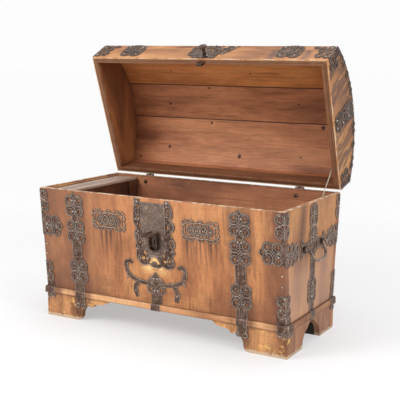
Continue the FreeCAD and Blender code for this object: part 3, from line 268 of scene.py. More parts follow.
def wood(name, tones, grain, seed, *marks, turn=UPRIGHT, streaks=0.4, shade_and_grime_share=0.4, rays=0.4):
    """Waxed wood. `tones` are its dark, middle and light colours, `streaks` and `rays` how strong its dark
    streaks and the fine lines across its grain are, `shade_and_grime_share` how dark painted shade and grime
    make it where it meets something, and `marks` are functions that add what time left on it, and on some
    boards painted shade."""
    shader = Shader(f"oak_{name}")
    offset = (seed * 3.1, seed * 1.7, seed * 2.3)

    def pattern(scale, *settings):
        return shader.noise(shader.stretch(scale, offset, turn), *settings)

    broad = pattern(grain * 5 + Vector((2.2, 2.2, 2.2)), 4, 0.55, 0.3)
    colour = shader.ramp(broad, *zip((0.3, 0.5, 0.7), tones))
    bands = pattern(grain * 48, 4, 0.6, 0.6)
    colour = shader.shade(0.55, colour, bands, (0.3, 0.66), (0.62, 1.06))
    fibres = pattern(grain * 260, 3, 0.7)
    colour = shader.shade(0.6, colour, fibres, (0.3, 0.6), (0.62, 1.06))
    lines = pattern((Vector((1.05, 1.05, 1.05)) - grain) * 190, 2, 0.6)
    colour = shader.shade(rays, colour, lines, (0.35, 0.72), (0.6, 1.04))
    offset = (seed * 5.3, seed, seed * 4.1)
    streak = shader.ramp(pattern(grain * 70, 4, 0.65, 0.3), (0.56, 0.0), (0.68, 1.0))
    deep = [level / 2 for level in linear(*tones[0])[:3]] + [1]
    colour = shader.stain(colour, deep, streak, streaks)
    for mark in marks:
        colour = mark(shader, colour)
    # Painted shade where surfaces meet, from ambient occlusion; round the irons it also stands for grime.
    shade_and_grime = shader.occlusion_shade(0.03, (0.15, 0.1), (0.45, 1.0), (0.9, 0.0))
    colour = shader.stain(colour, (44, 27, 19), shade_and_grime, shade_and_grime_share)
    roughness = shader.ramp(fibres, (0.2, 0.67), (0.8, 0.45))
    shader.set(Base_Color=colour, Roughness=roughness, Specular_IOR_Level=0.35)
    shader.bump(shader.mix(0.35, fibres, bands), 0.0012, 0.5)
    return shader.material


PALE_EDGE = (220, 194, 164)
# Painted shade for the dark lines at the step of a lid's rim.
STEP_SHADE = (66, 40, 28)


def sooty(shader, colour):
    """Smoke that settled beside the front's irons."""
    across = shader.where()[0]
    smoke = shader.cloud((14, 1, 7), 4, 0.6, (0.35, 0.15), (0.6, 0.8))
    places = [(across, middle_of(name)) for name in FRONT_STRAPS]
    for place, middle in places + [(shader.size(across), 0.58)]:
        colour = shader.stain(colour, (104, 62, 44), shader.near(place, middle, 0.045, 0.035), smoke)
    return colour


def golden_spots(shader, colour):
    """Spots rubbed down to the bare wood, most of them at the right corner, and the straps' dark stains."""
    across, _, up = shader.where()
    spots = shader.noise(shader.stretch((30, 30, 42), (4, 0, 2)), 5, 0.7)
    corner = shader.times(shader.fade(across, 0.56, 0.6), 0.09)
    worn = shader.ramp(shader.plus(spots, corner), (0.57, 0.0), (0.67, 1.0))
    colour = shader.stain(colour, (240, 192, 112), worn, 0.75)
    cloud = shader.cloud((60, 60, 22), 4, 0.6, (0.36, 0.3), (0.6, 1.0))
    for name in FRONT_STRAPS:
        beside = shader.near(across, middle_of(name), 0.024, 0.012)
        colour = shader.stain(colour, (92, 58, 46), beside, cloud, shader.fade(up, 0.012, 0.03), 0.9)
    return colour


def worn_foot(shader, colour):
    """The pale ragged lower edge of a foot board."""
    ragged = shader.times(shader.noise(shader.stretch((60, 60, 60))), -0.034)
    height = shader.plus(shader.where()[2], ragged)
    return shader.stain(colour, PALE_EDGE, shader.fade(height, -0.001, -0.008), 0.8)


def moulding_shade_lines(shader, colour):
    """A moulding, with painted shade lines where it meets the boards above and below it."""
    up = shader.where()[2]
    for level in (moulding_low.z, moulding_high.z):
        colour = shader.stain(colour, (66, 40, 29), shader.near(up, level, 0.0016, 0.0016), 0.6)
    return colour


def pale_rim(shader, colour):
    """The top of a carcass board, rubbed bare by the lid."""
    ragged = shader.cloud((40, 40, 40), 3, 0.55, (0.42, (142, 102, 80)), (0.58, PALE_EDGE))
    return shader.stain(colour, ragged, shader.fade(shader.where()[2], RIM - 0.0022, RIM - 0.0008), 0.85)


def front_marks(shader, colour):
    """Drips that ran down from the cartouches, sooty ends, and bare wood about the lock's foot."""
    across, _, up = shader.where()
    smoke = shader.noise(shader.stretch((5, 1, 12), (7, 0, 3)), 3)
    smoke = shader.ramp(smoke, (0.42, 0.0), (0.62, 0.6))
    colour = shader.stain(colour, (120, 74, 52), shader.fade(up, 0.25, 0.15), smoke)
    drip = shader.cloud((75, 1, 2.5), 3, 0.6, (0.42, 0.0), (0.58, 1.0))
    below = shader.times(shader.fade(up, 0.315, 0.42), shader.fade(up, 0.462, 0.45))
    for middle in (-0.236, 0.226):
        beside = shader.near(across, middle, 0.066, 0.028)
        colour = shader.stain(colour, (72, 48, 40), beside, below, drip, 0.8)
    cloud = shader.noise(shader.stretch((6, 6, 4), (2, 0, 5)), 3)
    cloud = shader.ramp(cloud, (0.35, 0.4), (0.6, 0.85))
    for edge, far in ((-0.2, -0.44), (0.46, 0.7)):
        colour = shader.stain(colour, (132, 86, 62), shader.fade(across, edge, far), cloud)
    bare = shader.times(shader.near(across, -0.007, 0.034, 0.05), shader.near(up, 0.324, 0.024, 0.04))
    ragged = shader.cloud((50, 50, 50), 4, 0.55, (0.38, 0.2), (0.6, 1.0))
    return shader.stain(colour, (252, 206, 140), bare, ragged)


def lid_rim(shader, colour):
    """A lid board: its rim is bare and pale in places along the outer edge, with painted shade lines at the
    lip's step.
    """
    across, depth, up = shader.where(closed=True)
    height = shader.less(up, RIM + LID_GAP)
    from_side = shader.less(HALF_DEPTH, shader.size(depth))
    from_end = shader.less(HALF_WIDTH, shader.size(across))
    inset = shader.maths("MINIMUM", from_side, from_end)
    ragged = shader.noise(shader.stretch((24, 24, 24)), 5, 0.65)
    stray = shader.plus(inset, shader.times(shader.less(ragged, 0.5), 0.014))
    tint = shader.ramp(ragged, (0.4, (176, 122, 78)), (0.5, (222, 174, 124)), (0.6, (242, 216, 184)))
    edge = shader.less(height, shader.times(ragged, 0.012))
    colour = shader.stain(colour, tint, shader.fade(edge, 0.0, -0.005), 0.3)
    face = shader.fade(height, 0.001, 0.0004)
    # Tones of the rim's face; its two dark lines are painted shade at the lip's step.
    for tone, *shares in (
        ((132, 84, 54), 0.8),
        (tint, shader.fade(stray, 0.006, 0.003), 0.9),
        (STEP_SHADE, shader.near(stray, 0.0085, 0.001, 0.0015), 0.5),
        (STEP_SHADE, shader.near(inset, 0.0152, 0.001, 0.0012), 0.4),
        ((104, 64, 40), shader.fade(inset, 0.0165, 0.0175), 0.4),
    ):
        colour = shader.stain(colour, tone, face, *shares)
    return colour


def smoked(shader, colour):
    """Smoke that settled left of the irons on the right half of the lid's front."""
    across = shader.where(closed=True)[0]
    cloud = shader.cloud((40, 40, 40), 3, 0.55, (0.35, 0.3), (0.6, 0.85))
    for middle in (0.332, 0.488):
        colour = shader.stain(colour, (88, 62, 50), shader.near(across, middle, 0.006, 0.022), cloud)
    return colour


def bleached(shader, colour):
    """The lower part of an end, greyer and paler."""
    return shader.stain(colour, (190, 152, 132), shader.fade(shader.where()[2], 0.44, 0.3), 0.4)


def painted_inner_shade(shader, colour):
    """The rear board of the lid, with painted shade on its inner side."""
    inner = shader.fade(shader.where(closed=True)[1], HALF_DEPTH - 0.004, HALF_DEPTH - 0.008)
    return shader.stain(colour, (64, 42, 30), inner, 0.62)


def seams(shader, colour):
    """The dark joint between two staves of the lid."""
    beside = shader.size(shader.where(closed=True)[1])
    return shader.stain(colour, (40, 22, 15), shader.near(beside, SEAM, 0.0016, 0.0016), 0.9)


def rind(seed, shader, colour):
    """The outside of a stave: duller than its inside, with long dark streaks and smoke beside the straps."""
    across, depth, _ = shader.where(closed=True)
    inset = shader.maths("MINIMUM", shader.less(ARCH_HALF, shader.size(depth)), shader.below_arch())
    grain = shader.noise(shader.stretch((2.2, 30, 30), (seed * 1.3, 6, 4), LID_UPRIGHT), 5, 0.68, 0.5)
    tone = shader.ramp(grain, (0.36, (112, 68, 44)), (0.47, (162, 110, 73)), (0.62, (190, 136, 92)))
    fibres = shader.noise(shader.stretch((9, 200, 200), turn=LID_UPRIGHT), 3, 0.7)
    tone = shader.shade(0.7, tone, fibres, (0.3, 0.64), (0.6, 1.06))
    cloud = shader.cloud((5, 16, 16), 4, 0.6, (0.4, 0.1), (0.62, 0.75))
    for middle in (middle_of(FRONT_STRAPS[1]), HALF_WIDTH):
        tone = shader.stain(tone, (84, 52, 38), shader.near(shader.size(across), middle, 0.03, 0.09), cloud)
    return shader.stain(colour, tone, shader.fade(inset, 0.012, 0.008), 0.92)


def end_grain(shader, colour):
    """The cut end of a stave, as brown and striped as the lid's end board."""
    across = shader.size(shader.where(closed=True)[0])
    cut = shader.fade(across, HALF_WIDTH - 0.0016, HALF_WIDTH - 0.0008)
    return shader.mix(cut, colour, stripes(shader, (124, 84, 58)))


def stripes(shader, colour):
    """Dark stripes down the end of the lid, where its irons rusted, and black stains along its arch."""
    slant = (-LID_TURN - 0.25, 0, 0)
    streaked = shader.noise(shader.stretch((1, 26, 5), (3, 1, 0), slant), 5, 0.65, 0.8)
    colour = shader.stain(colour, (80, 50, 38), shader.ramp(streaked, (0.49, 0.0), (0.55, 1.0)), 0.75)
    blotched = shader.noise(shader.stretch((1, 17, 6), (5, 2, 0), slant), 4, 0.6)
    ragged = shader.plus(shader.below_arch(), shader.times(blotched, 0.16))
    return shader.stain(colour, (58, 46, 44), shader.fade(ragged, 0.094, 0.082), 0.85)


def figure(shader, colour):
    """The wavy figure of a board sawn across its rings."""
    rings = shader.noise(shader.stretch((2.2, 26, 26), (2, 4, 7), LID_UPRIGHT), 3, 0.5, 1.6)
    lines = shader.maths("PINGPONG", shader.times(rings, 11), 1)
    return shader.shade(0.5, colour, lines, (0.0, 0.72), (0.45, 1.03))


def knots(shader, colour):
    """Small dark knots and nail marks."""
    across, depth, _ = shader.where(closed=True)
    flat = shader.add("ShaderNodeCombineXYZ", {"X": across, "Y": depth}).outputs["Vector"]
    cell = shader.add("ShaderNodeTexVoronoi", {"Vector": flat, "Scale": 4.6}, voronoi_dimensions="2D").outputs
    chance = shader.add("ShaderNodeSeparateColor", {"Color": cell["Color"]}).outputs["Red"]
    away = shader.plus(cell["Distance"], shader.times(chance, 0.052))
    return shader.stain(colour, (40, 24, 18), shader.fade(away, 0.062, 0.04), 0.92)


def iron(name, hollow, body, gloss, crest=None):
    """Forged iron: painted shade in its hollows, the tone `crest` where a mesh marks its crests, and black
    where it marks a hole's painted shade.
    """
    shader = Shader(name)
    deep = (26, 17, 14)
    pitting = shader.noise(shader.stretch((160, 160, 160)), 5, 0.65)
    patches = shader.cloud((23, 23, 23), 3, 0.5, (0.35, 0.0), (0.65, 1.0))
    colour = shader.shade(0.6, shader.mix(patches, hollow, body), pitting, (0.4, 0.6), (0.62, 1.0))
    rust = shader.noise(shader.stretch((85, 85, 85), (1, 5, 2)), 4, 0.7)
    colour = shader.stain(colour, (176, 142, 116), shader.ramp(rust, (0.55, 0.0), (0.62, 1.0)), 0.55)
    # Painted shade in hollows and where parts meet, from ambient occlusion.
    colour = shader.stain(colour, deep, shader.occlusion_shade(0.012, (0.3, 1.0), (0.9, 0.0)), 0.7)
    if crest:
        mark = shader.add("ShaderNodeAttribute", attribute_name="crest").outputs["Fac"]
        rubbed = shader.ramp(mark, (0.55, 0.0), (1.0, 1.0))
        colour = shader.stain(colour, crest, rubbed, shader.ramp(pitting, (0.3, 0.3), (0.6, 1.0)))
        # Painted shade: black on the discs that stand for small hollows.
        colour = shader.stain(colour, deep, shader.maths("LESS_THAN", mark, PAINTED_HOLE / 2))
    shader.set(Base_Color=colour, Roughness=shader.ramp(pitting, (0.3, gloss + 0.2), (0.7, gloss)))
    shader.set(Metallic=0.55, Specular_IOR_Level=0.5)
    shader.bump(pitting, 0.0006, 0.6)
    return shader.material


PLINTH = ((150, 94, 58), (212, 148, 96), (232, 172, 112))
PLINTH_END = ((104, 66, 48), (164, 114, 82), (200, 146, 104))
INSIDE = ((112, 66, 42), (170, 108, 74), (200, 136, 92))
OUTSIDE = ((120, 78, 52), (182, 126, 80), (208, 150, 94))
REAR_STAVE = ((140, 84, 56), (186, 120, 82), (208, 142, 98))
TILL = ((50, 27, 18), (84, 48, 30), (124, 76, 48))


def lid_wood(name, tones, grain, seed, *marks):
    """The wood of a straight board of the lid."""
    return wood(name, tones, grain, seed, *marks, lid_rim, turn=LID_UPRIGHT)


def stave(name, tones, seed):
    """The wood of a curved board of the lid."""
    marks = (figure, knots, functools.partial(rind, seed), seams, end_grain)
    return wood(name, tones, ALONG_X, seed, *marks, turn=LID_UPRIGHT, shade_and_grime_share=0.3, rays=0.12)


CARCASS = ((136, 82, 52), (200, 132, 84), (226, 160, 102))
# Near-black wood for the corner blocks: painted shade, for blocks that stand in shade behind the feet's
# arches.
SHADED_BLOCK = ((20, 13, 10), (36, 24, 18), (52, 35, 26))
MOULDING = ((168, 112, 74), (234, 170, 118), (246, 194, 140))
STRIP = ((132, 84, 54), (182, 125, 80), (212, 154, 102))
END_INSIDE = ((92, 54, 34), (140, 86, 52), (180, 116, 70))
LID_OUTSIDE = ((112, 70, 44), (172, 116, 70), (206, 148, 88))
FRONT_STAVE = ((158, 92, 48), (206, 130, 72), (226, 152, 90))
TOP_STAVE = ((120, 70, 44), (180, 114, 76), (208, 140, 94))
TILL_LID = ((130, 104, 90), (186, 160, 142), (216, 194, 174))
WOODS = {
    "front_panel": wood("front", CARCASS, ALONG_Z, 1, sooty, front_marks, pale_rim, streaks=0.5),
    "back_panel": wood("back", INSIDE, ALONG_X, 2, pale_rim),
    "left_panel": wood("left", OUTSIDE, ALONG_Z, 3, pale_rim),
    "right_panel": wood("right", OUTSIDE, ALONG_Z, 4, bleached, pale_rim, streaks=0.55),
    "bottom_board": wood("bottom", INSIDE, ALONG_X, 5),
    "plinth_front": wood("foot_front", PLINTH, ALONG_Z, 6, sooty, golden_spots, worn_foot, shade_and_grime_share=0.2),
    "plinth_back": wood("foot_back", PLINTH, ALONG_Z, 7, worn_foot),
    "plinth_left": wood("foot_left", PLINTH_END, ALONG_Z, 8, worn_foot),
    "plinth_right": wood("foot_right", PLINTH_END, ALONG_Z, 9, worn_foot),
    "corner_blocks": wood("blocks", SHADED_BLOCK, ALONG_Z, 22),
    "base_moulding": wood("moulding", MOULDING, ALONG_X, 10, sooty, moulding_shade_lines, shade_and_grime_share=0.3),
    "lid_front_board": lid_wood("lid_front", STRIP, ALONG_X, 11, smoked),
    "lid_rear_board": lid_wood("lid_rear", REAR_STAVE, ALONG_X, 12, painted_inner_shade),
    "lid_left_end": lid_wood("lid_left", END_INSIDE, ALONG_Y, 13),
    "lid_right_end": lid_wood("lid_right", LID_OUTSIDE, ALONG_Z, 14, stripes),
    "lid_stave_front": stave("stave_front", FRONT_STAVE, 15),
    "lid_stave_top": stave("stave_top", TOP_STAVE, 16),
    "lid_stave_rear": stave("stave_rear", REAR_STAVE, 17),
    "till_side": wood("till_side", TILL, ALONG_Y, 18, streaks=0.2),
    "till_bottom": wood("till_bottom", TILL, ALONG_Y, 19, streaks=0.2),
    "till_batten": wood("till_batten", TILL, ALONG_Y, 20, streaks=0.2),
    "till_lid": wood("till_lid", TILL_LID, ALONG_Y, 21, streaks=0.2),
}
MOUNT_IRON = iron("mount_iron", (74, 48, 36), (114, 90, 78), 0.42, (198, 182, 168))
# A darker copy of the mount iron for the lid's irons: painted shade, as they face up into the light.
LID_IRON_SHADED = iron("lid_iron_painted_shade", (48, 32, 26), (88, 70, 62), 0.45, (150, 132, 118))
PLAIN_IRON = iron("plain_iron", (76, 58, 50), (126, 105, 94), 0.45)
# Near-black, for the disc behind the keyhole: painted shade for the dark inside of the lock.
KEYHOLE_SHADE_IRON = iron("keyhole_shade_black", (10, 8, 8), (18, 14, 13), 0.7)
# Near-white iron for the nails: a painted highlight on their heads.
NAIL_GLINT_IRON = iron("nail_iron", (130, 114, 104), (210, 196, 184), 0.25)
GRIP_IRON = iron("grip_iron", (40, 24, 18), (96, 64, 48), 0.2)
HANDLE_IRON = iron("handle_iron", (104, 84, 74), (160, 140, 126), 0.36)
GRIPS = ("lid_knob", "lid_catch", "key_guide", "keyhole_cover", "hinge_bolts")

for name, node in frame["nodes"].items():
    used = HANDLE_IRON if "handle" in name or "hinge" in name else PLAIN_IRON
    used = GRIP_IRON if name in GRIPS else NAIL_GLINT_IRON if "nails" in name else WOODS.get(name, used)
    node.data.materials.clear()
    node.data.materials.append(used)
    if name in WOODS:
        node.modifiers.new("weld", "WELD").merge_threshold = 0.00002
        arris = node.modifiers.new("arris", "BEVEL")
        arris.width = 0.002 if "stave" in name else 0.0012
        arris.segments = 2
        arris.angle_limit = math.radians(35)

# --- Ironwork: faces to lay it on, lines to draw it with, and the bars, plates and bosses that make it ---

# How far, in millimetres, the smith's hand strays from the drawn line, how often it turns, and its seed.
STRAY = 1.1
STRAY_TURNS = 0.05
STRAY_SEED = 1
noise.seed_set(STRAY_SEED)
PLATE = 2.5
# Cross-sections of a bar: place across, height and how rubbed it is there, each as a share.
CROWN = (
    *((-1, -0.3, 0.0), (-1, 0.35, 0.1), (-0.55, 0.8, 0.35), (-0.2, 1, 1)),
    *((0.2, 1, 1), (0.55, 0.8, 0.35), (1, 0.35, 0.1), (1, -0.3, 0.0)),
)
ARM = (
    *((-1, -0.3, 0.0), (-1, 0.6, 0.5), (-0.86, 0.9, 1), (-0.66, 0.7, 0.2), (0, 1, 0.15)),
    *((0.66, 0.7, 0.2), (0.86, 0.9, 1), (1, 0.6, 0.5), (1, -0.3, 0.0)),
)
BAND = (
    *((-1, -0.3, 0.0), (-1, 0.8, 0.7), (-0.94, 1.25, 1), (-0.85, 0.9, 0.3), (-0.5, 0.95, 0.2)),
    *((-0.4, 1.1, 0.75), (-0.3, 0.95, 0.2), (0.3, 0.95, 0.2), (0.4, 1.1, 0.6), (0.5, 0.95, 0.2)),
    *((0.85, 0.9, 0.3), (0.94, 1.25, 0.9), (1, 0.8, 0.5), (1, -0.3, 0.0)),
)


class Face:
    """A flat face. (u, v, w) are millimetres along it, up it and out of it."""

    def __init__(self, frame, across=0, up=0):
        self.frame = frame
        self.across = across
        self.up = up

    def spot(self, u, v, w):
        return self.frame @ Vector(((u + self.across) * MM, -w * MM, (v + self.up) * MM))


class Bent:
    """A band's way along a profile of (out, up) places. (u, s, w) are millimetres across, along and out."""

    def __init__(self, profile, frame, across=0):
        self.frame = frame
        self.across = across
        self.places = [Vector(place) for place in profile]
        runs = [after - before for before, after in zip(self.places, self.places[1:])]
        self.stops = [0.0]
        for run in runs:
            self.stops.append(self.stops[-1] + run.length)
            run.normalize()
        self.outward = []
        for first, second in zip(runs[:1] + runs, runs + runs[-1:]):
            mitre = (first + second).normalized()
            self.outward.append(Vector((-mitre.y, mitre.x)) / max(mitre.dot(first), 0.5))

    def spot(self, u, s, w):
        index = min(max(bisect.bisect_right(self.stops, s) - 1, 0), len(self.places) - 2)
        share = (s - self.stops[index]) / (self.stops[index + 1] - self.stops[index])
        place = self.places[index].lerp(self.places[index + 1], share)
        place = place + self.outward[index].lerp(self.outward[index + 1], share) * w
        return self.frame @ Vector(((u + self.across) * MM, -place.x * MM, place.y * MM))

    def line(self, start, end, u=0):
        """Points down the middle of a band, with one at each bend."""
        return [(u, start)] + [(u, stop) for stop in self.stops if start < stop < end] + [(u, end)]


def smooth(points, steps=5):
    """A smooth line through a few places."""
    places = [Vector(point) for point in points]
    line = []
    for index in range(len(places) - 1):
        p0, p1, p2 = places[max(index - 1, 0)], places[index], places[index + 1]
        p3 = places[min(index + 2, len(places) - 1)]
        for step in range(steps):
            t = step / steps
            curved = (2 * p0 - 5 * p1 + 4 * p2 - p3) * t * t + (3 * p1 - p0 - 3 * p2 + p3) * t ** 3
            line.append(0.5 * (2 * p1 + (p2 - p0) * t + curved))
    return line + [places[-1]]


def trace(points, steps=6):
    """A closed outline. A point is (u, v), or (u, v, via_u, via_v) where a bow through `via` leads to it."""
    outline = []
    for index, point in enumerate(points):
        end = Vector(point[:2])
        if len(point) == 4:
            start = Vector(points[index - 1][:2])
            pull = 2 * Vector(point[2:]) - (start + end) / 2
            for t in (step / steps for step in range(1, steps)):
                outline.append((1 - t) ** 2 * start + 2 * t * (1 - t) * pull + t * t * end)
        outline.append(end)
    return outline


def oval(u, v, reach_u, reach_v, tilt=0, steps=12):
    lean = Matrix.Rotation(math.radians(tilt), 2)
    turns = [2 * math.pi * step / steps for step in range(steps)]
    return [Vector((u, v)) + lean @ Vector((reach_u * math.cos(a), reach_v * math.sin(a))) for a in turns]


def volute(u, v, reach_u, reach_v, side=1, end=1, start=160, sweep=-460, close=0.4):
    """A ring that rolls up inside itself. `side` and `end` mirror it across and upwards."""
    line = []
    for share in (step / 26 for step in range(27)):
        angle = math.radians(start + sweep * share)
        shrink = 1 - (1 - close) * max(0, share - 0.55) / 0.45
        across, along = side * reach_u * math.cos(angle), end * reach_v * math.sin(angle)
        line.append(Vector((u + across * shrink, v + along * shrink)))
    return line


def flip(side, line):
    """A line, mirrored across where `side` is -1."""
    return [(side * point[0], point[1]) for point in line]


def skin(shape, rows, closed=False):
    """Faces between rings of vertices, back to the first ring or with a cap at each end."""
    for before, row in zip(rows[-1:] + rows if closed else rows, rows if closed else rows[1:]):
        for step in range(len(row)):
            shape.faces.new((before[step - 1], before[step], row[step], row[step - 1]))
    if not closed:
        shape.faces.new(rows[0])
        shape.faces.new(rows[-1])


def make_piece(name, shape, material):
    bmesh.ops.recalc_face_normals(shape, faces=shape.faces)
    mesh = bpy.data.meshes.new(name)
    shape.to_mesh(mesh)
    shape.free()
    mesh.shade_smooth()
    mesh.materials.append(material)
    piece = bpy.data.objects.new(name, mesh)
    bpy.context.scene.collection.objects.link(piece)
    return piece


class Relief:
    """Ironwork in one mesh. Its vertices carry `crest`, how rubbed the metal is there, and a mark of its own
    on discs painted black as the shade of hollows.
    """

    def __init__(self, face, seed=0):
        self.face = face
        self.seed = seed
        self.mesh = bmesh.new()
        self.crest = self.mesh.verts.layers.float.new("crest")

    def vertex(self, u, v, w, crest):
        stray = noise.noise_vector(Vector((u * STRAY_TURNS, v * STRAY_TURNS, self.seed * 7.3))) * STRAY
        made = self.mesh.verts.new(self.face.spot(u + stray.x, v + stray.y, w + 0.2 * stray.z))
        made[self.crest] = crest
        return made

    def bar(self, line, width, height=3.2, base=0, ends=(0.7, 0.45), section=CROWN, closed=False):
        """A bar of a given section along a line. `ends` are the widths of its ends, as shares."""
        last = len(line) - 1
        rows = []
        for index, point in enumerate(line):
            before = index - 1 if closed else max(index - 1, 0)
            after = (index + 1) % len(line) if closed else min(index + 1, last)
            along = (Vector(line[after]) - Vector(line[before])).normalized()
            share = 0.5 if closed else index / last
            narrow = min(1, ends[0] + (1 - ends[0]) * 4 * share, ends[1] + (1 - ends[1]) * 3 * (1 - share))
            row = []
            for reach, rise, crest in section:
                half = width / 2 * narrow * reach
                place = (point[0] - along.y * half, point[1] + along.x * half)
                row.append(self.vertex(*place, base + height * rise, crest))
            rows.append(row)
        skin(self.mesh, rows, closed)

    def curve(self, points, *settings, **more):
        """A bar along a smooth line through a few places."""
        self.bar(smooth(points), *settings, **more)

    def band(self, line, width, ends=(1, 1)):
        self.bar(line, width, 2.4, ends=ends, section=BAND)

    def rail(self, line, width, height, base=0):
        """A bar as wide at its ends as in its middle."""
        self.bar(line, width, height, base, (1, 1))

    def plate(self, outline, holes=(), thickness=2.2, base=0, crest=0.2):
        """A flat plate with holes. Its walls are bare of rubbing."""
        loops = [outline, *holes]
        flat = [[Vector((point[0], point[1], 0)) for point in loop] for loop in loops]
        top, low = (
            [self.vertex(point[0], point[1], level, rubbed) for loop in loops for point in loop]
            for level, rubbed in ((base + thickness, crest), (base - 0.5, 0))
        )
        for first, second, third in tessellate_polygon(flat):
            self.mesh.faces.new((top[first], top[second], top[third]))
            self.mesh.faces.new((low[third], low[second], low[first]))
        start = 0
        for loop in loops:
            for step in range(len(loop)):
                near, far = start + step, start + (step + 1) % len(loop)
                self.mesh.faces.new((top[near], top[far], low[far], low[near]))
            start += len(loop)

    def boss(self, u, v, radius, height, base=2):
        """A low round head."""
        rows = [[self.vertex(*point, base - 1, 0) for point in oval(u, v, radius, radius, steps=10)]]
        for share in (0, 1 / 3, 2 / 3):
            angle = math.pi / 2 * share
            reach = radius * math.cos(angle)
            circle = oval(u, v, reach, reach, steps=10)
            lift = base + height * math.sin(angle)
            rows.append([self.vertex(*point, lift, 0.4 + 0.6 * share) for point in circle])
        skin(self.mesh, rows)

    def shade_pit(self, u, v):
        """A small disc painted black, standing for the shade inside a small hollow, with a lip round it."""
        self.plate(oval(u, v, 2.6, 2.6, steps=8), [], 3.2, crest=PAINTED_HOLE)
        self.bar(oval(u, v, 3.2, 3.2, steps=10), 1.6, 3.5, closed=True)

    def lobe(self, u, v, reach_u, reach_v, side=1, end=1):
        """A pierced round of plate with a double edge, and a scroll round its drop-shaped opening."""
        eye = (u + side * reach_u * 0.1, v + end * reach_v * 0.14)
        hole = (min(6.2, reach_u * 0.33), min(8.5, reach_v * 0.38), side * end * 25)
        self.plate(oval(u, v, reach_u - 1, reach_v - 1, steps=22), [oval(*eye, *hole)], 2.0)
        self.bar(oval(u, v, reach_u - 1.9, reach_v - 1.9, steps=24), 3.8, 3.4, closed=True)
        self.bar(volute(*eye, reach_u * 0.6, reach_v * 0.58, side, end, close=0.55), 3.6, 3.0)

    def medallion(self, u, v, half_width, half_height, upright=True):
        """Four interlaced lobes about a small star, with discs of painted shade standing for hollows in it,
        upright or lying.
        """
        for side in BOTH:
            for end in BOTH:
                place = (u + side * half_width * 0.46, v + end * half_height * 0.47)
                self.lobe(*place, half_width * 0.54, half_height * 0.53, side, end)
        self.plate(oval(u, v, half_width * 0.34, half_height * 0.34), [], 2.4)

        def turned(points):
            """Points about the middle, turned where the medallion lies."""
            if upright:
                return [(u + across, v + along) for across, along in points]
            return [(u + along, v + across) for across, along in points]

        for tilt in BOTH:
            cross = [(-20, -17 * tilt), (-8, -8 * tilt), (8, 8 * tilt), (20, 17 * tilt)]
            self.bar(smooth(turned(cross), 3), 3.6, 3.8)
            self.bar(smooth(turned([(tilt * 46, -9), (tilt * 38, 0), (tilt * 46, 9)]), 3), 4, 3.4)
        for place in turned(((0, 14), (0, -14), (-9, 0), (9, 0), (-5, 30), (5, 30), (-5, -30), (5, -30))):
            self.shade_pit(*place)
        for place in turned(((-7, 20), (7, 20), (-7, -21), (7, -21), (0, 38), (0, -38))):
            self.boss(*place, 3.4, 3.6)

    def finish(self, node, name=None, material=None):
        """Make the piece. It takes its CAD node's place, unless it has a material of its own."""
        # Irons on the lid take the darker copy of the mount iron, which is painted shade.
        body, used = ("lid", LID_IRON_SHADED) if node.startswith("lid") else ("chest", MOUNT_IRON)
        piece = make_piece(name or f"wrought_{node}", self.mesh, material or used)
        piece.data.set_sharp_from_angle(angle=math.radians(50))
        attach(piece, body)
        if not material:
            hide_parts(node)


# --- Ways over the mouldings and over the lid ---

MOULDING_TOP = moulding_high.z / MM
MOULDING_BOTTOM = moulding_low.z / MM
BOARD_TOP = 165
PLINTH_FOOT = 20
# The stops where a way over the moulding leaves the board, turns in below the moulding and meets the plinth.
NOSE, UNDERSIDE, FOOT = 1, 5, 6
ROUND = ((-4.5, 0), (-1.2, -4.5), (0, -10))
# How deep the straps are let into the arch.
SUNK = 1.3


def over_moulding(yaw, across):
    """The way from the board down over the moulding to the plinth, on the side that faces `yaw`."""
    levels = (BOARD_TOP, MOULDING_TOP)
    if yaw in (0, 180):
        proud = -moulding_low.y / MM
        foot = BASE_HALF / MM
        board = [(foot + math.tan(LEAN) * (level - PLINTH_TOP / MM), level) for level in levels]
    else:
        proud = moulding_high.x / MM
        foot = PLINTH_HALF / MM
        board = [(HALF_WIDTH / MM, level) for level in levels]
    nose = [(proud + out, MOULDING_TOP + up) for out, up in ROUND]
    under = [(proud, MOULDING_BOTTOM), (foot, MOULDING_BOTTOM), (foot, PLINTH_FOOT)]
    return Bent(board + nose + under, Matrix.Rotation(math.radians(yaw), 4, "Z"), across)


def over_lid(across, steps=24):
    """The way from the lid's rear rim over the arch to its front rim."""
    low = ARCH_RADIUS / MM - SUNK
    centre = (LID_RISE - ARCH_RADIUS) / MM
    sweep = math.asin(ARCH_HALF / ARCH_RADIUS)
    turns = [sweep * (2 * step / steps - 1) for step in range(steps + 1)]
    arch = [(low * math.sin(turn), centre + low * math.cos(turn)) for turn in turns]
    rim = HALF_DEPTH / MM
    return Bent([(-rim, 0)] + arch + [(rim, 0)], OPEN @ Matrix.Translation((0, 0, RIM + LID_GAP)), across)


# --- Mounts of the chest. Heights and places are millimetres on the face that carries them. ---

# Top and bottom of a front strap's three medallions, and half the width of the strap between them.
MEDALLIONS = ((587, 487), (474, 366), (288, 176))
NECK = 26


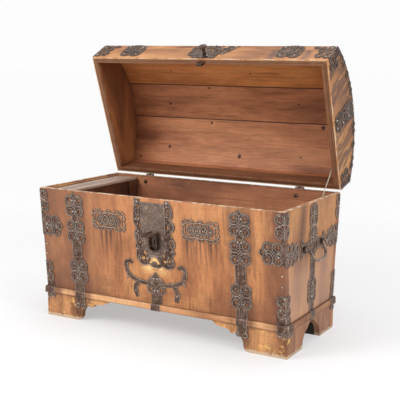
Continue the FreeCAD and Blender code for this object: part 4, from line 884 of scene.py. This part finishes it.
def front_strap(name):
    """A band with a pointed top and three medallions, bent over the moulding and down the plinth."""
    place = middle_of(name) / MM
    relief = Relief(Face(FRONT, place))
    for high, low in MEDALLIONS:
        relief.medallion(0, (high + low) / 2, 49, (high - low) / 2)
    tip = trace([(-4, 599), (4, 599), (30, 576, 9, 584), (8, 566), (-8, 566), (-30, 576)])
    relief.plate(tip, [oval(0, 578, 2.6, 2.6, steps=8)])
    relief.plate([(-20, 494), (20, 494), (16, 481), (20, 468), (-20, 468), (-16, 481)])
    relief.band([(0, 370), (0, 284)], 2 * NECK)
    relief.band([(0, 180), (0, 141)], 2 * NECK)
    for side in BOTH:
        relief.curve(flip(side, [(3, 599), (9, 587), (24, 580), (37, 576)]), 5, 3.6)
        relief.curve(flip(side, [(22, 495), (15, 481), (22, 466)]), 6, 3.6)
    way = relief.face = over_moulding(0, place)
    foot = way.stops[-1] - 58
    relief.band(way.line(20, foot), 2 * NECK, (1, 0.8))
    for side in BOTH:
        relief.lobe(side * 16, foot + 6, 14, 13, side, 1)
        for along in (way.stops[NOSE] - 5, way.stops[FOOT] + 4):
            relief.bar([(side * (NECK - 2), along), (side * 4, along + 2)], 4, 3.4)
    relief.finish(name)


# Half the length and the height of a link in the interlaced middle of a cartouche.
LINK = 32
LINK_HEIGHT = 21


def cartouche(name):
    """A pierced oblong mount: a humped frame with curled corners round a band of interlaced links."""
    place = middle_of(name) / MM
    relief = Relief(Face(FRONT, place, 491), place)
    for end in BOTH:
        rail = [(-74, 27), (-50, 33), (-25, 30), (0, 34), (25, 30), (50, 33), (74, 27)]
        relief.curve([(u, end * v) for u, v in rail], 8, 3.8)
        for middle in (-45, 0, 45):
            hump = [(-14, 31), (-13, 40), (-5, 45), (5, 45), (13, 40), (14, 31)]
            relief.bar(smooth([(middle + u, end * v) for u, v in hump], 3), 5.5, 3.6)
        for side in BOTH:
            relief.bar(volute(side * 72, end * 32, 13, 11, side, end, 200, -400), 6, 3.8)
            relief.bar(smooth(flip(side, [(78, end * 26), (86, end * 12), (79, 0)]), 4), 7, 3.8)
        spots = range(-2 * LINK, 2 * LINK + 1, 4)
        relief.bar([(u, end * LINK_HEIGHT * math.sin(math.pi * u / LINK)) for u in spots], 7, 3.4)
        for share in (-1.5, -0.5, 0.5, 1.5):
            relief.bar(volute(share * LINK, end * 5, 6.5, 7.5, end, end), 4.5, 3.4)
        for u in (-LINK, 0, LINK):
            relief.bar(smooth([(u - 9, end * 30), (u, end * 13), (u + 9, end * 30)], 4), 5, 3.4)
        relief.bar([(end * 70, 26), (end * 70, -26)], 7, 3.4)
    relief.finish(name)


def scroll_mount():
    """The anchor-shaped mount: a crown over two lobes, a hooked arm and a leg on each side, and a tail."""
    relief = Relief(Face(FRONT, -5))
    arm = [(34, 226), (60, 229), (86, 233), (112, 242), (133, 256), (146, 277), (149, 296)]
    arm += [(146, 311), (134, 320), (122, 318), (116, 311)]
    leg = [(84, 234), (97, 217), (105, 202), (106, 188), (102, 172), (97, 160)]
    crown = [(40, 236), (34, 250), (18, 258), (12, 268), (0, 283)]
    half = [(6, 276), (12, 254), (9, 240), (12, 224), (9, 206), (13, 190), (22, 182), (26, 168), (26, 141)]
    for side in BOTH:
        relief.curve(flip(side, arm), 21, 3.8, ends=(0.8, 0.75), section=ARM)
        relief.curve(flip(side, [(128, 254), (142, 246), (150, 235)]), 9, 3)
        relief.curve(flip(side, leg), 25, 3.8, ends=(0.7, 0.75), section=ARM)
        relief.curve(flip(side, [(62, 238), (78, 240), (90, 232)]), 6, 4)
        relief.curve(flip(side, crown), 5.5, 3.6)
        relief.lobe(side * 24, 206, 23, 25, side, -1)
        relief.lobe(side * 21, 243, 14, 14, side, 1)
        relief.bar([(side * 25, 172), (side * 25, 141)], 4, 3.4)
    holes = [oval(0, 262, 2.6, 4), oval(0, 235, 3, 3), oval(-4, 214, 2.4, 2.4), oval(4, 214, 2.4, 2.4)]
    relief.plate(half + flip(-1, half[::-1]), holes, 2.4)
    way = relief.face = over_moulding(0, -11)
    relief.band(way.line(22, way.stops[FOOT] + 2), 46)
    relief.finish("scroll_mount")


LOCK_EDGE = (
    *((-93, 602), (-94, 576), (-97, 546), (-101, 518), (-97, 494), (-87, 469), (-98, 452), (-98, 424)),
    *((-90, 405), (-98, 391), (-90, 378), (-95, 352), (-86, 329), (-67, 313), (-48, 311), (-36, 319)),
    *((-20, 309), (-3, 304)),
    *((20, 306), (34, 315), (54, 306), (80, 308), (93, 324), (91, 345), (83, 362), (97, 374), (97, 385)),
    *((87, 393), (100, 408), (98, 432), (82, 453), (81, 466), (98, 482), (101, 498), (92, 513), (79, 521)),
    *((92, 533), (95, 553), (91, 578), (77, 602)),
)
LOCK_TOP = [(58, 602), (58, 588), (-66, 588), (-66, 602)]
# Openings of the lock plate: place, half width, half height and tilt.
LOCK_OPENINGS = (
    *((-75, 562, 6, 11, 0), (-72, 486, 4, 11, 8), (-78, 410, 5, 8, 0), (-52, 366, 6, 12, 24)),
    *((-63, 341, 11, 9, 0), (-44, 339, 5, 7, 0), (69, 551, 5.5, 13, 0), (68, 489, 4, 13, -4)),
    *((84, 419, 5, 9, 0), (42, 363, 6.5, 12, -14), (46, 336, 10, 6, 0), (-80, 434, 4, 8, 10)),
    *((-86, 520, 4, 9, 0), (70, 340, 8, 8, 0)),
)
# Small scrolls on the lock plate: place, reach, side and end.
LOCK_SCROLLS = (
    *((-82, 584, 10, 11, -1, 1), (-80, 546, 9, 16, -1, -1)),
    *((-88, 500, 11, 16, -1, 1), (-85, 432, 11, 18, -1, -1)),
    *((-82, 388, 7, 7, -1, 1), (-80, 340, 7, 12, -1, -1), (76, 588, 9, 9, 1, 1), (78, 550, 10, 18, 1, -1)),
    *((86, 493, 11, 18, 1, 1), (86, 420, 11, 18, 1, -1), (84, 380, 8, 8, 1, 1), (72, 338, 16, 18, 1, -1)),
)
BROW = [(-41, 320), (-37, 340), (-24, 353), (-7, 358), (10, 353), (23, 340), (27, 320)]
KEYHOLE = (1, 412)


def lock_plate():
    """A plain plate between two columns of scrolls, with a crescent opening under the key guide."""
    relief = Relief(Face(FRONT))
    outline = smooth(LOCK_EDGE, 3) + LOCK_TOP
    crescent = trace([(-36, 322), (22, 322, -7, 354), (10, 318), (-24, 318, -7, 331)])
    slot = trace([(-4, 418), (4, 418, 0, 436), (3, 398), (-3, 398)])
    slot = [(u + KEYHOLE[0], v) for u, v in slot]
    holes = [oval(*opening) for opening in LOCK_OPENINGS]
    relief.plate(outline, holes + [crescent, slot], PLATE, crest=0.35)
    relief.bar(outline, 4.4, 1.6, PLATE, closed=True)
    for scroll in LOCK_SCROLLS:
        relief.bar(volute(*scroll), 4.6, 2, PLATE)
    relief.curve(BROW, 6, 3, 1.5)
    for side in BOTH:
        heart = [(14, 313), (11, 321), (5, 323), (0, 315)]
        relief.curve([(u - 7, v) for u, v in flip(side, heart)], 4.5, 3, 1.5)
        relief.boss(side * 20 - 7, 356, 4.5, 3)
        relief.boss(side * 34 - 7, 352, 4, 3)
    relief.bar(oval(-2, 404, 60, 51, steps=32), 4.5, 1.2, PLATE, closed=True)
    relief.plate([(-59, 585), (56, 585), (56, 454), (-59, 454)], [], 0.5, PLATE, 0.64)
    relief.plate(oval(-2, 403, 57, 49, steps=32), [slot], 0.4, PLATE, 0.62)
    relief.rail([(56, 586), (57, 466)], 5, 1.6, PLATE)
    relief.rail([(-60, 586), (-60, 466)], 4, 1.4, PLATE)
    for u, v in ((-40, 478), (-12, 474), (24, 478), (44, 474), (-46, 574), (0, 578), (42, 574)):
        relief.boss(u, v, 3, 1.4, PLATE)
    for u, foot in ((-67, 350), (63, 360)):
        for step in range(9):
            relief.boss(u + 4 * math.sin(5 * step), 592 + (foot - 592) * step / 8, 3.6, 1.8, PLATE)
    relief.finish("lock_plate")
    # A black disc behind the keyhole: painted shade for the dark inside of the lock.
    shade = Relief(Face(FRONT))
    shade.plate(oval(*KEYHOLE, 9, 26), [], 0.8)
    shade.finish("lock_plate", "keyhole_shade_disc", KEYHOLE_SHADE_IRON)


# How far a corner's cap over the moulding stands proud on a long and on a short side, its reach along the
# side, and how far it goes on down the plinth.
CAP_PROUD = {0: 6.5, 90: 10.5}
CAP_REACH = 46
CAP_FOOT = 5


def corner(name, side, face):
    """The irons of one upright corner: two stacked rings on top, a cross with a tip, and a lower iron."""
    front, yaw = (FRONT, 0) if face < 0 else (BACK, 180)
    end_frame, end_yaw = (RIGHT, 90) if side > 0 else (LEFT, -90)
    across = -side * face
    end_across = side * face
    relief = Relief(Face(front))

    def outward(line):
        return flip(across, line)

    for v, high, end in ((575, 25, 1), (521, 28, -1)):
        relief.lobe(across * 581, v, 22, high, across, end)
        relief.rail(outward([(602, v - 26), (602, v + 24)]), 6, 2.6)
    relief.bar(outward([(562, 541), (582, 550), (603, 560)]), 7, 3.6, ends=(0.6, 1))
    relief.medallion(across * 549, 434, 47, 50, upright=False)
    tip = trace([(488, 435), (498, 449), (512, 453), (512, 417), (498, 421)])
    relief.plate(outward(tip), [oval(across * 503, 435, 4, 6)])
    relief.curve(outward([(512, 455), (500, 450), (490, 435), (500, 420), (512, 415)]), 5, 3.6)
    for outline in (
        [(566, 600), (604, 600), (604, 590), (590, 594)],
        [(592, 500), (604, 500), (604, 478), (588, 478)],
        [(593, 482), (604.5, 482), (604.5, 388), (593, 388)],
        [(564, 170), (604, 170), (604, 141), (562, 141)],
    ):
        relief.plate(outward(outline))
    for v in (389, 480):
        relief.bar(outward([(586, v), (604, v)]), 5)
    relief.curve(outward([(566, 262), (568, 236), (570, 214)]), 5)
    relief.curve(outward([(560, 233), (578, 218), (594, 200)]), 6, 3.8)
    relief.lobe(across * 587, 240, 17, 23, across, 1)
    relief.lobe(across * 583, 186, 21, 24, -across, -1)
    relief.rail(outward([(602, 262), (602, 150)]), 6, 2.6)

    relief.face = Face(end_frame)

    def inward(line):
        """Places measured inwards from the leaning edge of the end."""
        edge = HALF_DEPTH / MM
        return [(end_across * (edge - math.tan(LEAN) * (RIM / MM - v) - u), v) for u, v in line]

    for u, v, reach_u, reach_v, end in (
        *((21, 575, 20, 25, 1), (21, 521, 20, 28, -1), (139, 425, 13, 16, 1), (21, 240, 19, 24, 1)),
        *((21, 190, 19, 26, -1), (30, 449, 22, 25, 1), (30, 401, 22, 25, -1), (72, 449, 22, 25, 1)),
        *((72, 401, 22, 25, -1), (111, 444, 19, 20, 1), (111, 406, 19, 20, -1)),
    ):
        relief.lobe(*inward([(u, v)])[0], reach_u, reach_v, -end_across, end)
    for u, low, high in ((2, 549, 599), (2, 495, 545), (3, 150, 262)):
        relief.rail(inward([(u, low), (u, high)]), 6, 2.6)
    relief.bar(inward([(40, 541), (20, 550), (3, 560)]), 6, 3.6, ends=(0.6, 1))
    relief.plate(inward([(3, 600), (40, 600), (14, 594), (3, 590)]))
    relief.bar(inward([(3, 425), (60, 425), (128, 425)]), 20, 3.4, ends=(1, 0.5), section=ARM)
    relief.rail(inward([(4, 470), (4, 380)]), 8, 2.8)
    relief.bar(inward(smooth([(42, 256), (30, 220), (6, 200)])), 6, 3.8)
    relief.plate(inward([(2, 168), (40, 168), (42, 141), (2, 141)]))

    for turned, edge, sense in ((yaw, PLINTH_HALF / MM, across), (end_yaw, BASE_HALF / MM, end_across)):
        way = relief.face = over_moulding(turned, 0)
        for proud, begin, last, down in (
            (CAP_PROUD[abs(turned) % 180], NOSE, UNDERSIDE, 0),
            (PLATE, UNDERSIDE, FOOT, CAP_FOOT),
        ):
            reach = CAP_REACH + proud
            line = way.line(way.stops[begin] - 1, way.stops[last] + down, sense * (edge + proud - reach / 2))
            relief.band(line, reach)
        for inset, drop in ((13, 14), (34, 9)):
            relief.lobe(sense * (edge - inset), way.stops[FOOT] + drop, 13, 13, sense, 1)
    relief.finish(name)


def end_strap(name, side):
    """The upright strap of an end, with arms out to plates under the handle's eyes."""
    frame, yaw = (RIGHT, 90) if side > 0 else (LEFT, -90)
    relief = Relief(Face(frame))
    relief.plate(trace([(-3, 603), (3, 603), (26, 590, 8, 592), (8, 580), (-8, 580), (-26, 590)]))
    relief.medallion(0, 553, 43, 47)
    relief.medallion(0, 473, 36, 36)
    relief.medallion(0, 228, 45, 55)
    relief.band([(0, 445), (0, 278)], 2 * NECK - 6)
    relief.band([(0, 180), (0, 141)], 2 * NECK - 4)
    for hand in BOTH:
        wing = trace([(18, 446), (112, 443), (116, 425, 124, 434), (110, 402, 124, 412), (18, 404)])
        wing = flip(hand, wing)
        relief.plate(wing, [oval(hand * 54, 425, 9, 8), oval(hand * 32, 425, 5, 6)], 2.4)
        relief.bar(wing, 4, 1.6, 2.2, closed=True)
        relief.bar(volute(hand * 54, 425, 15, 13, hand, 1), 5, 2.4, 1.5)
        for end in BOTH:
            relief.lobe(hand * 118, 425 + end * 26, 14, 15, -hand, end)
            shoulder = [(20, 425 + end * 22), (34, 425 + end * 34), (50, 425 + end * 24)]
            relief.curve(flip(hand, shoulder), 5)
    way = relief.face = over_moulding(yaw, 0)
    relief.band(way.line(19, way.stops[FOOT] + 8), 2 * NECK - 2)
    relief.finish(name)

# --- Mounts of the lid ---

HINGE_PLACE = 405
# Width, outer and inner radius of a hinge's middle knuckle, and its number of sides.
KNUCKLE = 12.2
KNUCKLE_RADII = (6.0, 3.2)
KNUCKLE_SIDES = 20


def lid_strap(name, place):
    """One band over the arch with medallions on it, from the middle knuckle of the hinge to the front."""
    way = over_lid(place)
    relief = Relief(way)
    total = way.stops[-1]
    relief.band(way.line(4, total - 116), 41)
    for middle in (total * 0.28, total * 0.5, total * 0.72):
        relief.bar([(0, middle - 48), (0, middle), (0, middle + 48)], 60, 2, ends=(0.6, 0.6), section=ARM)
        for side in BOTH:
            for end in BOTH:
                relief.lobe(side * 30, middle + end * 25, 21, 25, side, end)
    relief.face = Face(LID_FRONT, place)
    relief.medallion(0, 72, 57, 55)
    for side in BOTH:
        relief.curve(flip(side, [(8, 128), (26, 121), (44, 122)]), 6)
        relief.curve(flip(side, [(54, 88), (57, 72), (54, 56)]), 5)
    relief.face = Face(LID_BACK, -place)
    relief.plate([(-6, 2), (6, 2), (6, 13), (-6, 13)], [], 9)
    rows = []
    for reach, side in ((0, -1), (0, 1), (1, 1), (1, -1)):
        row = []
        for out, up in oval(0, 0, KNUCKLE_RADII[reach], KNUCKLE_RADII[reach], steps=KNUCKLE_SIDES):
            spot = Vector((place + side * KNUCKLE / 2, out, up)) * MM
            row.append(relief.mesh.verts.new(HINGE @ spot))
            row[-1][relief.crest] = 0.3
        rows.append(row)
    skin(relief.mesh, rows, closed=True)
    relief.finish(name)


def lid_centre_plate():
    """The plate behind the knob: a plain foot between two scrolled wings."""
    relief = Relief(Face(LID_FRONT))
    sides = [(-58, 7), (60, 7), (68, 58), (40, 74, 58, 76), (2, 92, 16, 78), (-24, 90), (-60, 40, -52, 80)]
    relief.plate(trace(sides), [], PLATE, crest=0.6)
    relief.bar([(-58, 8), (0, 7), (60, 8)], 6, 1.4, 2.2, (0.8, 0.8))
    for lobe in (
        *((-68, 50, 24, 27, -1, -1), (-62, 92, 30, 30, -1, 1), (-30, 106, 18, 18, 1, 1)),
        *((4, 108, 17, 17, -1, 1), (36, 102, 18, 22, 1, 1), (74, 78, 23, 28, 1, -1)),
        (102, 103, 23, 22, 1, 1),
    ):
        relief.lobe(*lobe)
    relief.curve([(60, 48), (84, 52), (104, 70), (126, 108), (138, 126)], 7)
    for u, v in ((-14, 122), (20, 124), (56, 122), (-50, 122)):
        relief.boss(u, v, 5, 3)
    relief.finish("lid_centre_plate", "wrought_lid_centre")


# Middle and reach of the arc that the irons along the ends of the arch stand on.
ARCH_MIDDLE = -237
ARCH_REACH = 484
# Lobes of a lid's corner, on the long side from its middle and on the end from its edge: place, reach, end.
LONG_LOBES = (
    *((584, 32, 17, 18, -1), (548, 40, 20, 22, 1), (584, 74, 18, 22, 1)),
    *((548, 92, 21, 26, -1), (584, 112, 17, 14, 1), (516, 112, 16, 12, 1)),
)
END_LOBES = (
    *((12, 32, 16, 18, -1), (46, 36, 18, 20, 1), (12, 78, 18, 24, 1)),
    *((50, 84, 19, 24, -1), (10, 116, 16, 12, 1)),
)


def lid_corner_mounts():
    """Irons round the four corners of the lid."""
    relief = Relief(None)
    edge = HALF_DEPTH / MM
    for front, ends in ((LID_FRONT, (LID_LEFT, LID_RIGHT)), (LID_BACK, (LID_RIGHT, LID_LEFT))):
        for side, end_frame in zip(BOTH, ends):
            relief.face = Face(front)
            for u, v, reach_u, reach_v, end in LONG_LOBES:
                relief.lobe(side * u, v, reach_u, reach_v, side, end)
            relief.rail([(side * 602, 10), (side * 602, 124)], 6, 2.8)
            relief.face = Face(end_frame)
            for inset, v, reach_u, reach_v, end in END_LOBES:
                relief.lobe(-side * (edge - inset), v, reach_u, reach_v, side, end)
            relief.rail([(-side * (edge - 2), 10), (-side * (edge + 10), 124)], 6, 2.8)
            for turn, reach in ((10, 17), (14, 13), (21, 18), (29, 15), (33, 18)):
                away = Vector((0, ARCH_REACH - reach)) @ Matrix.Rotation(math.radians(turn), 2)
                relief.lobe(-side * away.x, ARCH_MIDDLE + away.y, reach, reach, side, 1)
    relief.finish("lid_corner_mounts", "wrought_lid_corners")


def lid_end_strap(name, frame):
    """An upright strap on an end of the lid: scrolls near the rim and a plain top."""
    relief = Relief(Face(frame))
    relief.medallion(0, 60, 41, 46)
    top = [(-36, 104), (36, 104), (44, 128), (44, 236), (-44, 236), (-44, 128)]
    relief.plate(top, [oval(0, 122, 9, 7), oval(-24, 124, 5, 8), oval(24, 124, 5, 8)], PLATE, crest=0)
    for side in BOTH:
        relief.bar([(side * 43, 130), (side * 43, 236)], 4, 1.4, PLATE)
        relief.lobe(side * 31, 176, 17, 21, side, 1)
    relief.finish(name)


for side, name in zip(BOTH, ("left", "right")):
    front_strap(f"front_strap_{name}")
    cartouche(f"cartouche_{name}")
    corner(f"corner_mounts_front_{name}", side, -1)
    corner(f"corner_mounts_rear_{name}", side, 1)
    end_strap(f"end_strap_{name}", side)
    lid_strap(f"lid_strap_{name}", side * HINGE_PLACE)
    lid_end_strap(f"lid_end_strap_{name}", LID_RIGHT if side > 0 else LID_LEFT)
scroll_mount()
lock_plate()
lid_centre_plate()
lid_corner_mounts()

# --- Stay cord: a taut twist of three strands between its staples ---

CORD_ROUTE = ((0.5620, 0.1900, 0.5920), (0.5631, 0.2565, 0.6642), (0.5640, 0.3210, 0.7373))
CORD_RADIUS = 0.0025
STRANDS = 3
TWISTS = 15
STRAND_SIDES = 8


def cord_line():
    """Points along the cord, read from its smooth route."""
    curve = bpy.data.curves.new("cord_route", "CURVE")
    curve.dimensions = "3D"
    spline = curve.splines.new("NURBS")
    spline.points.add(len(CORD_ROUTE) - 1)
    for point, place in zip(spline.points, CORD_ROUTE):
        point.co = (*place, 1)
    spline.order_u = 3
    spline.use_endpoint_u = True
    spline.resolution_u = 60
    route = bpy.data.objects.new("cord_route", curve)
    points = [vertex.co.copy() for vertex in bpy.data.meshes.new_from_object(route).vertices]
    bpy.data.objects.remove(route)
    return points


def stay_cord():
    points = cord_line()
    along = (points[-1] - points[0]).normalized()
    aside = along.cross(Vector((1, 0, 0))).normalized()
    other = along.cross(aside)

    def round_about(middle, turns):
        angle = 2 * math.pi * turns
        return middle + (aside * math.cos(angle) + other * math.sin(angle)) * CORD_RADIUS * 0.5

    shape = bmesh.new()
    for strand in range(STRANDS):
        rows = []
        for index, point in enumerate(points):
            middle = round_about(point, strand / STRANDS + TWISTS * index / (len(points) - 1))
            places = [round_about(middle, side / STRAND_SIDES) for side in range(STRAND_SIDES)]
            rows.append([shape.verts.new(place) for place in places])
        skin(shape, rows)
    shader = Shader("cord_fibre")
    fuzz = shader.noise(shader.stretch((500, 500, 500)), 3)
    colour = shader.ramp(fuzz, (0.3, (150, 138, 122)), (0.65, (214, 204, 188)))
    shader.set(Base_Color=colour, Roughness=0.9, Specular_IOR_Level=0.2)
    shader.bump(fuzz, 0.0006, 0.6)
    piece = make_piece("twisted_cord", shape, shader.material)
    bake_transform(piece)
    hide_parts("stay_cord")


stay_cord()

# --- Camera, light and floor ---

IMAGE_SIDE = 400
FOCAL_PIXELS = 868.16
SENSOR = 36.0
CAMERA_PLACE = (1.9281, -3.3336, 1.1958)
CAMERA_AZIMUTH = 29.29
CAMERA_PITCH = 9.36
CAMERA_ROLL = 0.567
PAPER_WHITE = 0.98
ROUND_LIGHT = 0.62
# The floor's reach, how white the camera sees it near the chest, and from where to where it turns whiter.
FLOOR_HALF = 60
NEAR_SHARE = 0.45
NEAR, FAR = 1.1, 3.2


def make_camera():
    azimuth, pitch, roll = (math.radians(angle) for angle in (CAMERA_AZIMUTH, CAMERA_PITCH, CAMERA_ROLL))
    level = Vector((-math.sin(azimuth), math.cos(azimuth), 0)) * math.cos(pitch)
    forward = level - Vector((0, 0, math.sin(pitch)))
    right = Vector((math.cos(azimuth), math.sin(azimuth), 0))
    up = right.cross(forward)
    across = right * math.cos(roll) + up * math.sin(roll)
    upward = up * math.cos(roll) - right * math.sin(roll)
    lens = bpy.data.cameras.new("camera")
    lens.sensor_width = SENSOR
    lens.lens = FOCAL_PIXELS / IMAGE_SIDE * SENSOR
    camera = bpy.data.objects.new("camera", lens)
    turn = Matrix((across, upward, -forward)).transposed().to_4x4()
    camera.matrix_world = Matrix.Translation(CAMERA_PLACE) @ turn
    bpy.context.scene.collection.objects.link(camera)
    bpy.context.scene.camera = camera


def area_light(name, place, target, side, power):
    lamp = bpy.data.lights.new(name, "AREA")
    lamp.shape = "SQUARE"
    lamp.size = side
    lamp.energy = power
    light = bpy.data.objects.new(name, lamp)
    light.location = place
    light.rotation_euler = (Vector(target) - Vector(place)).to_track_quat("-Z", "Y").to_euler()
    bpy.context.scene.collection.objects.link(light)


def make_world():
    """Soft grey light from all round, which the camera and mirror-like rays see as a pale backdrop."""
    world = bpy.data.worlds.new("studio")
    bpy.context.scene.world = world
    world.use_nodes = True
    tree = world.node_tree
    backdrop = tree.nodes["Background"]
    path = tree.nodes.new("ShaderNodeLightPath")
    seen = tree.nodes.new("ShaderNodeMath")
    seen.operation = "MAXIMUM"
    tree.links.new(path.outputs["Is Camera Ray"], seen.inputs[0])
    tree.links.new(path.outputs["Is Glossy Ray"], seen.inputs[1])
    level = tree.nodes.new("ShaderNodeMapRange")
    level.inputs["To Min"].default_value = ROUND_LIGHT
    level.inputs["To Max"].default_value = PAPER_WHITE
    tree.links.new(seen.outputs[0], level.inputs["Value"])
    tree.links.new(level.outputs["Result"], backdrop.inputs["Strength"])
    backdrop.inputs["Color"].default_value = (1, 1, 1, 1)


def make_floor():
    """A wide pale floor. The camera sees a share of plain white in it near the chest, and nearly nothing
    else far from it, so that it meets the backdrop without a line."""
    mesh = bpy.data.meshes.new("floor")
    corners = [(-1, -1), (1, -1), (1, 1), (-1, 1)]
    mesh.from_pydata([(x * FLOOR_HALF, y * FLOOR_HALF, 0) for x, y in corners], [], [(0, 1, 2, 3)])
    floor = bpy.data.objects.new("floor", mesh)
    bpy.context.scene.collection.objects.link(floor)
    shader = Shader("floor_paper")
    shader.set(Base_Color=(0.86, 0.86, 0.87, 1), Roughness=0.9, Specular_IOR_Level=0.1)
    white = shader.add("ShaderNodeEmission", {"Color": (1, 1, 1, 1), "Strength": PAPER_WHITE})
    paths = shader.add("ShaderNodeLightPath").outputs
    away = shader.add("ShaderNodeVectorMath", {0: shader.place}, operation="LENGTH").outputs["Value"]
    share = shader.plus(NEAR_SHARE, shader.times(shader.fade(away, NEAR, FAR), PAPER_WHITE - NEAR_SHARE))
    share = shader.times(share, shader.maths("MAXIMUM", paths["Is Camera Ray"], paths["Is Glossy Ray"]))
    sheets = {"Fac": share, 1: shader.surface.outputs[0], 2: white.outputs[0]}
    both = shader.add("ShaderNodeMixShader", sheets)
    shader.tree.links.new(both.outputs[0], shader.tree.nodes["Material Output"].inputs["Surface"])
    mesh.materials.append(shader.material)


make_camera()
make_world()
make_floor()
area_light("key", (-2.2, -3.6, 3.4), (0, 0, 0.6), 2.4, 130)
area_light("fill", (3.8, -1.2, 2.2), (0, 0, 0.5), 2.2, 60)
area_light("top", (0.2, 0.6, 4.4), (0, 0.1, 0.6), 2.6, 60)

# --- The view transform ---

bpy.context.scene.view_settings.view_transform = "Standard"
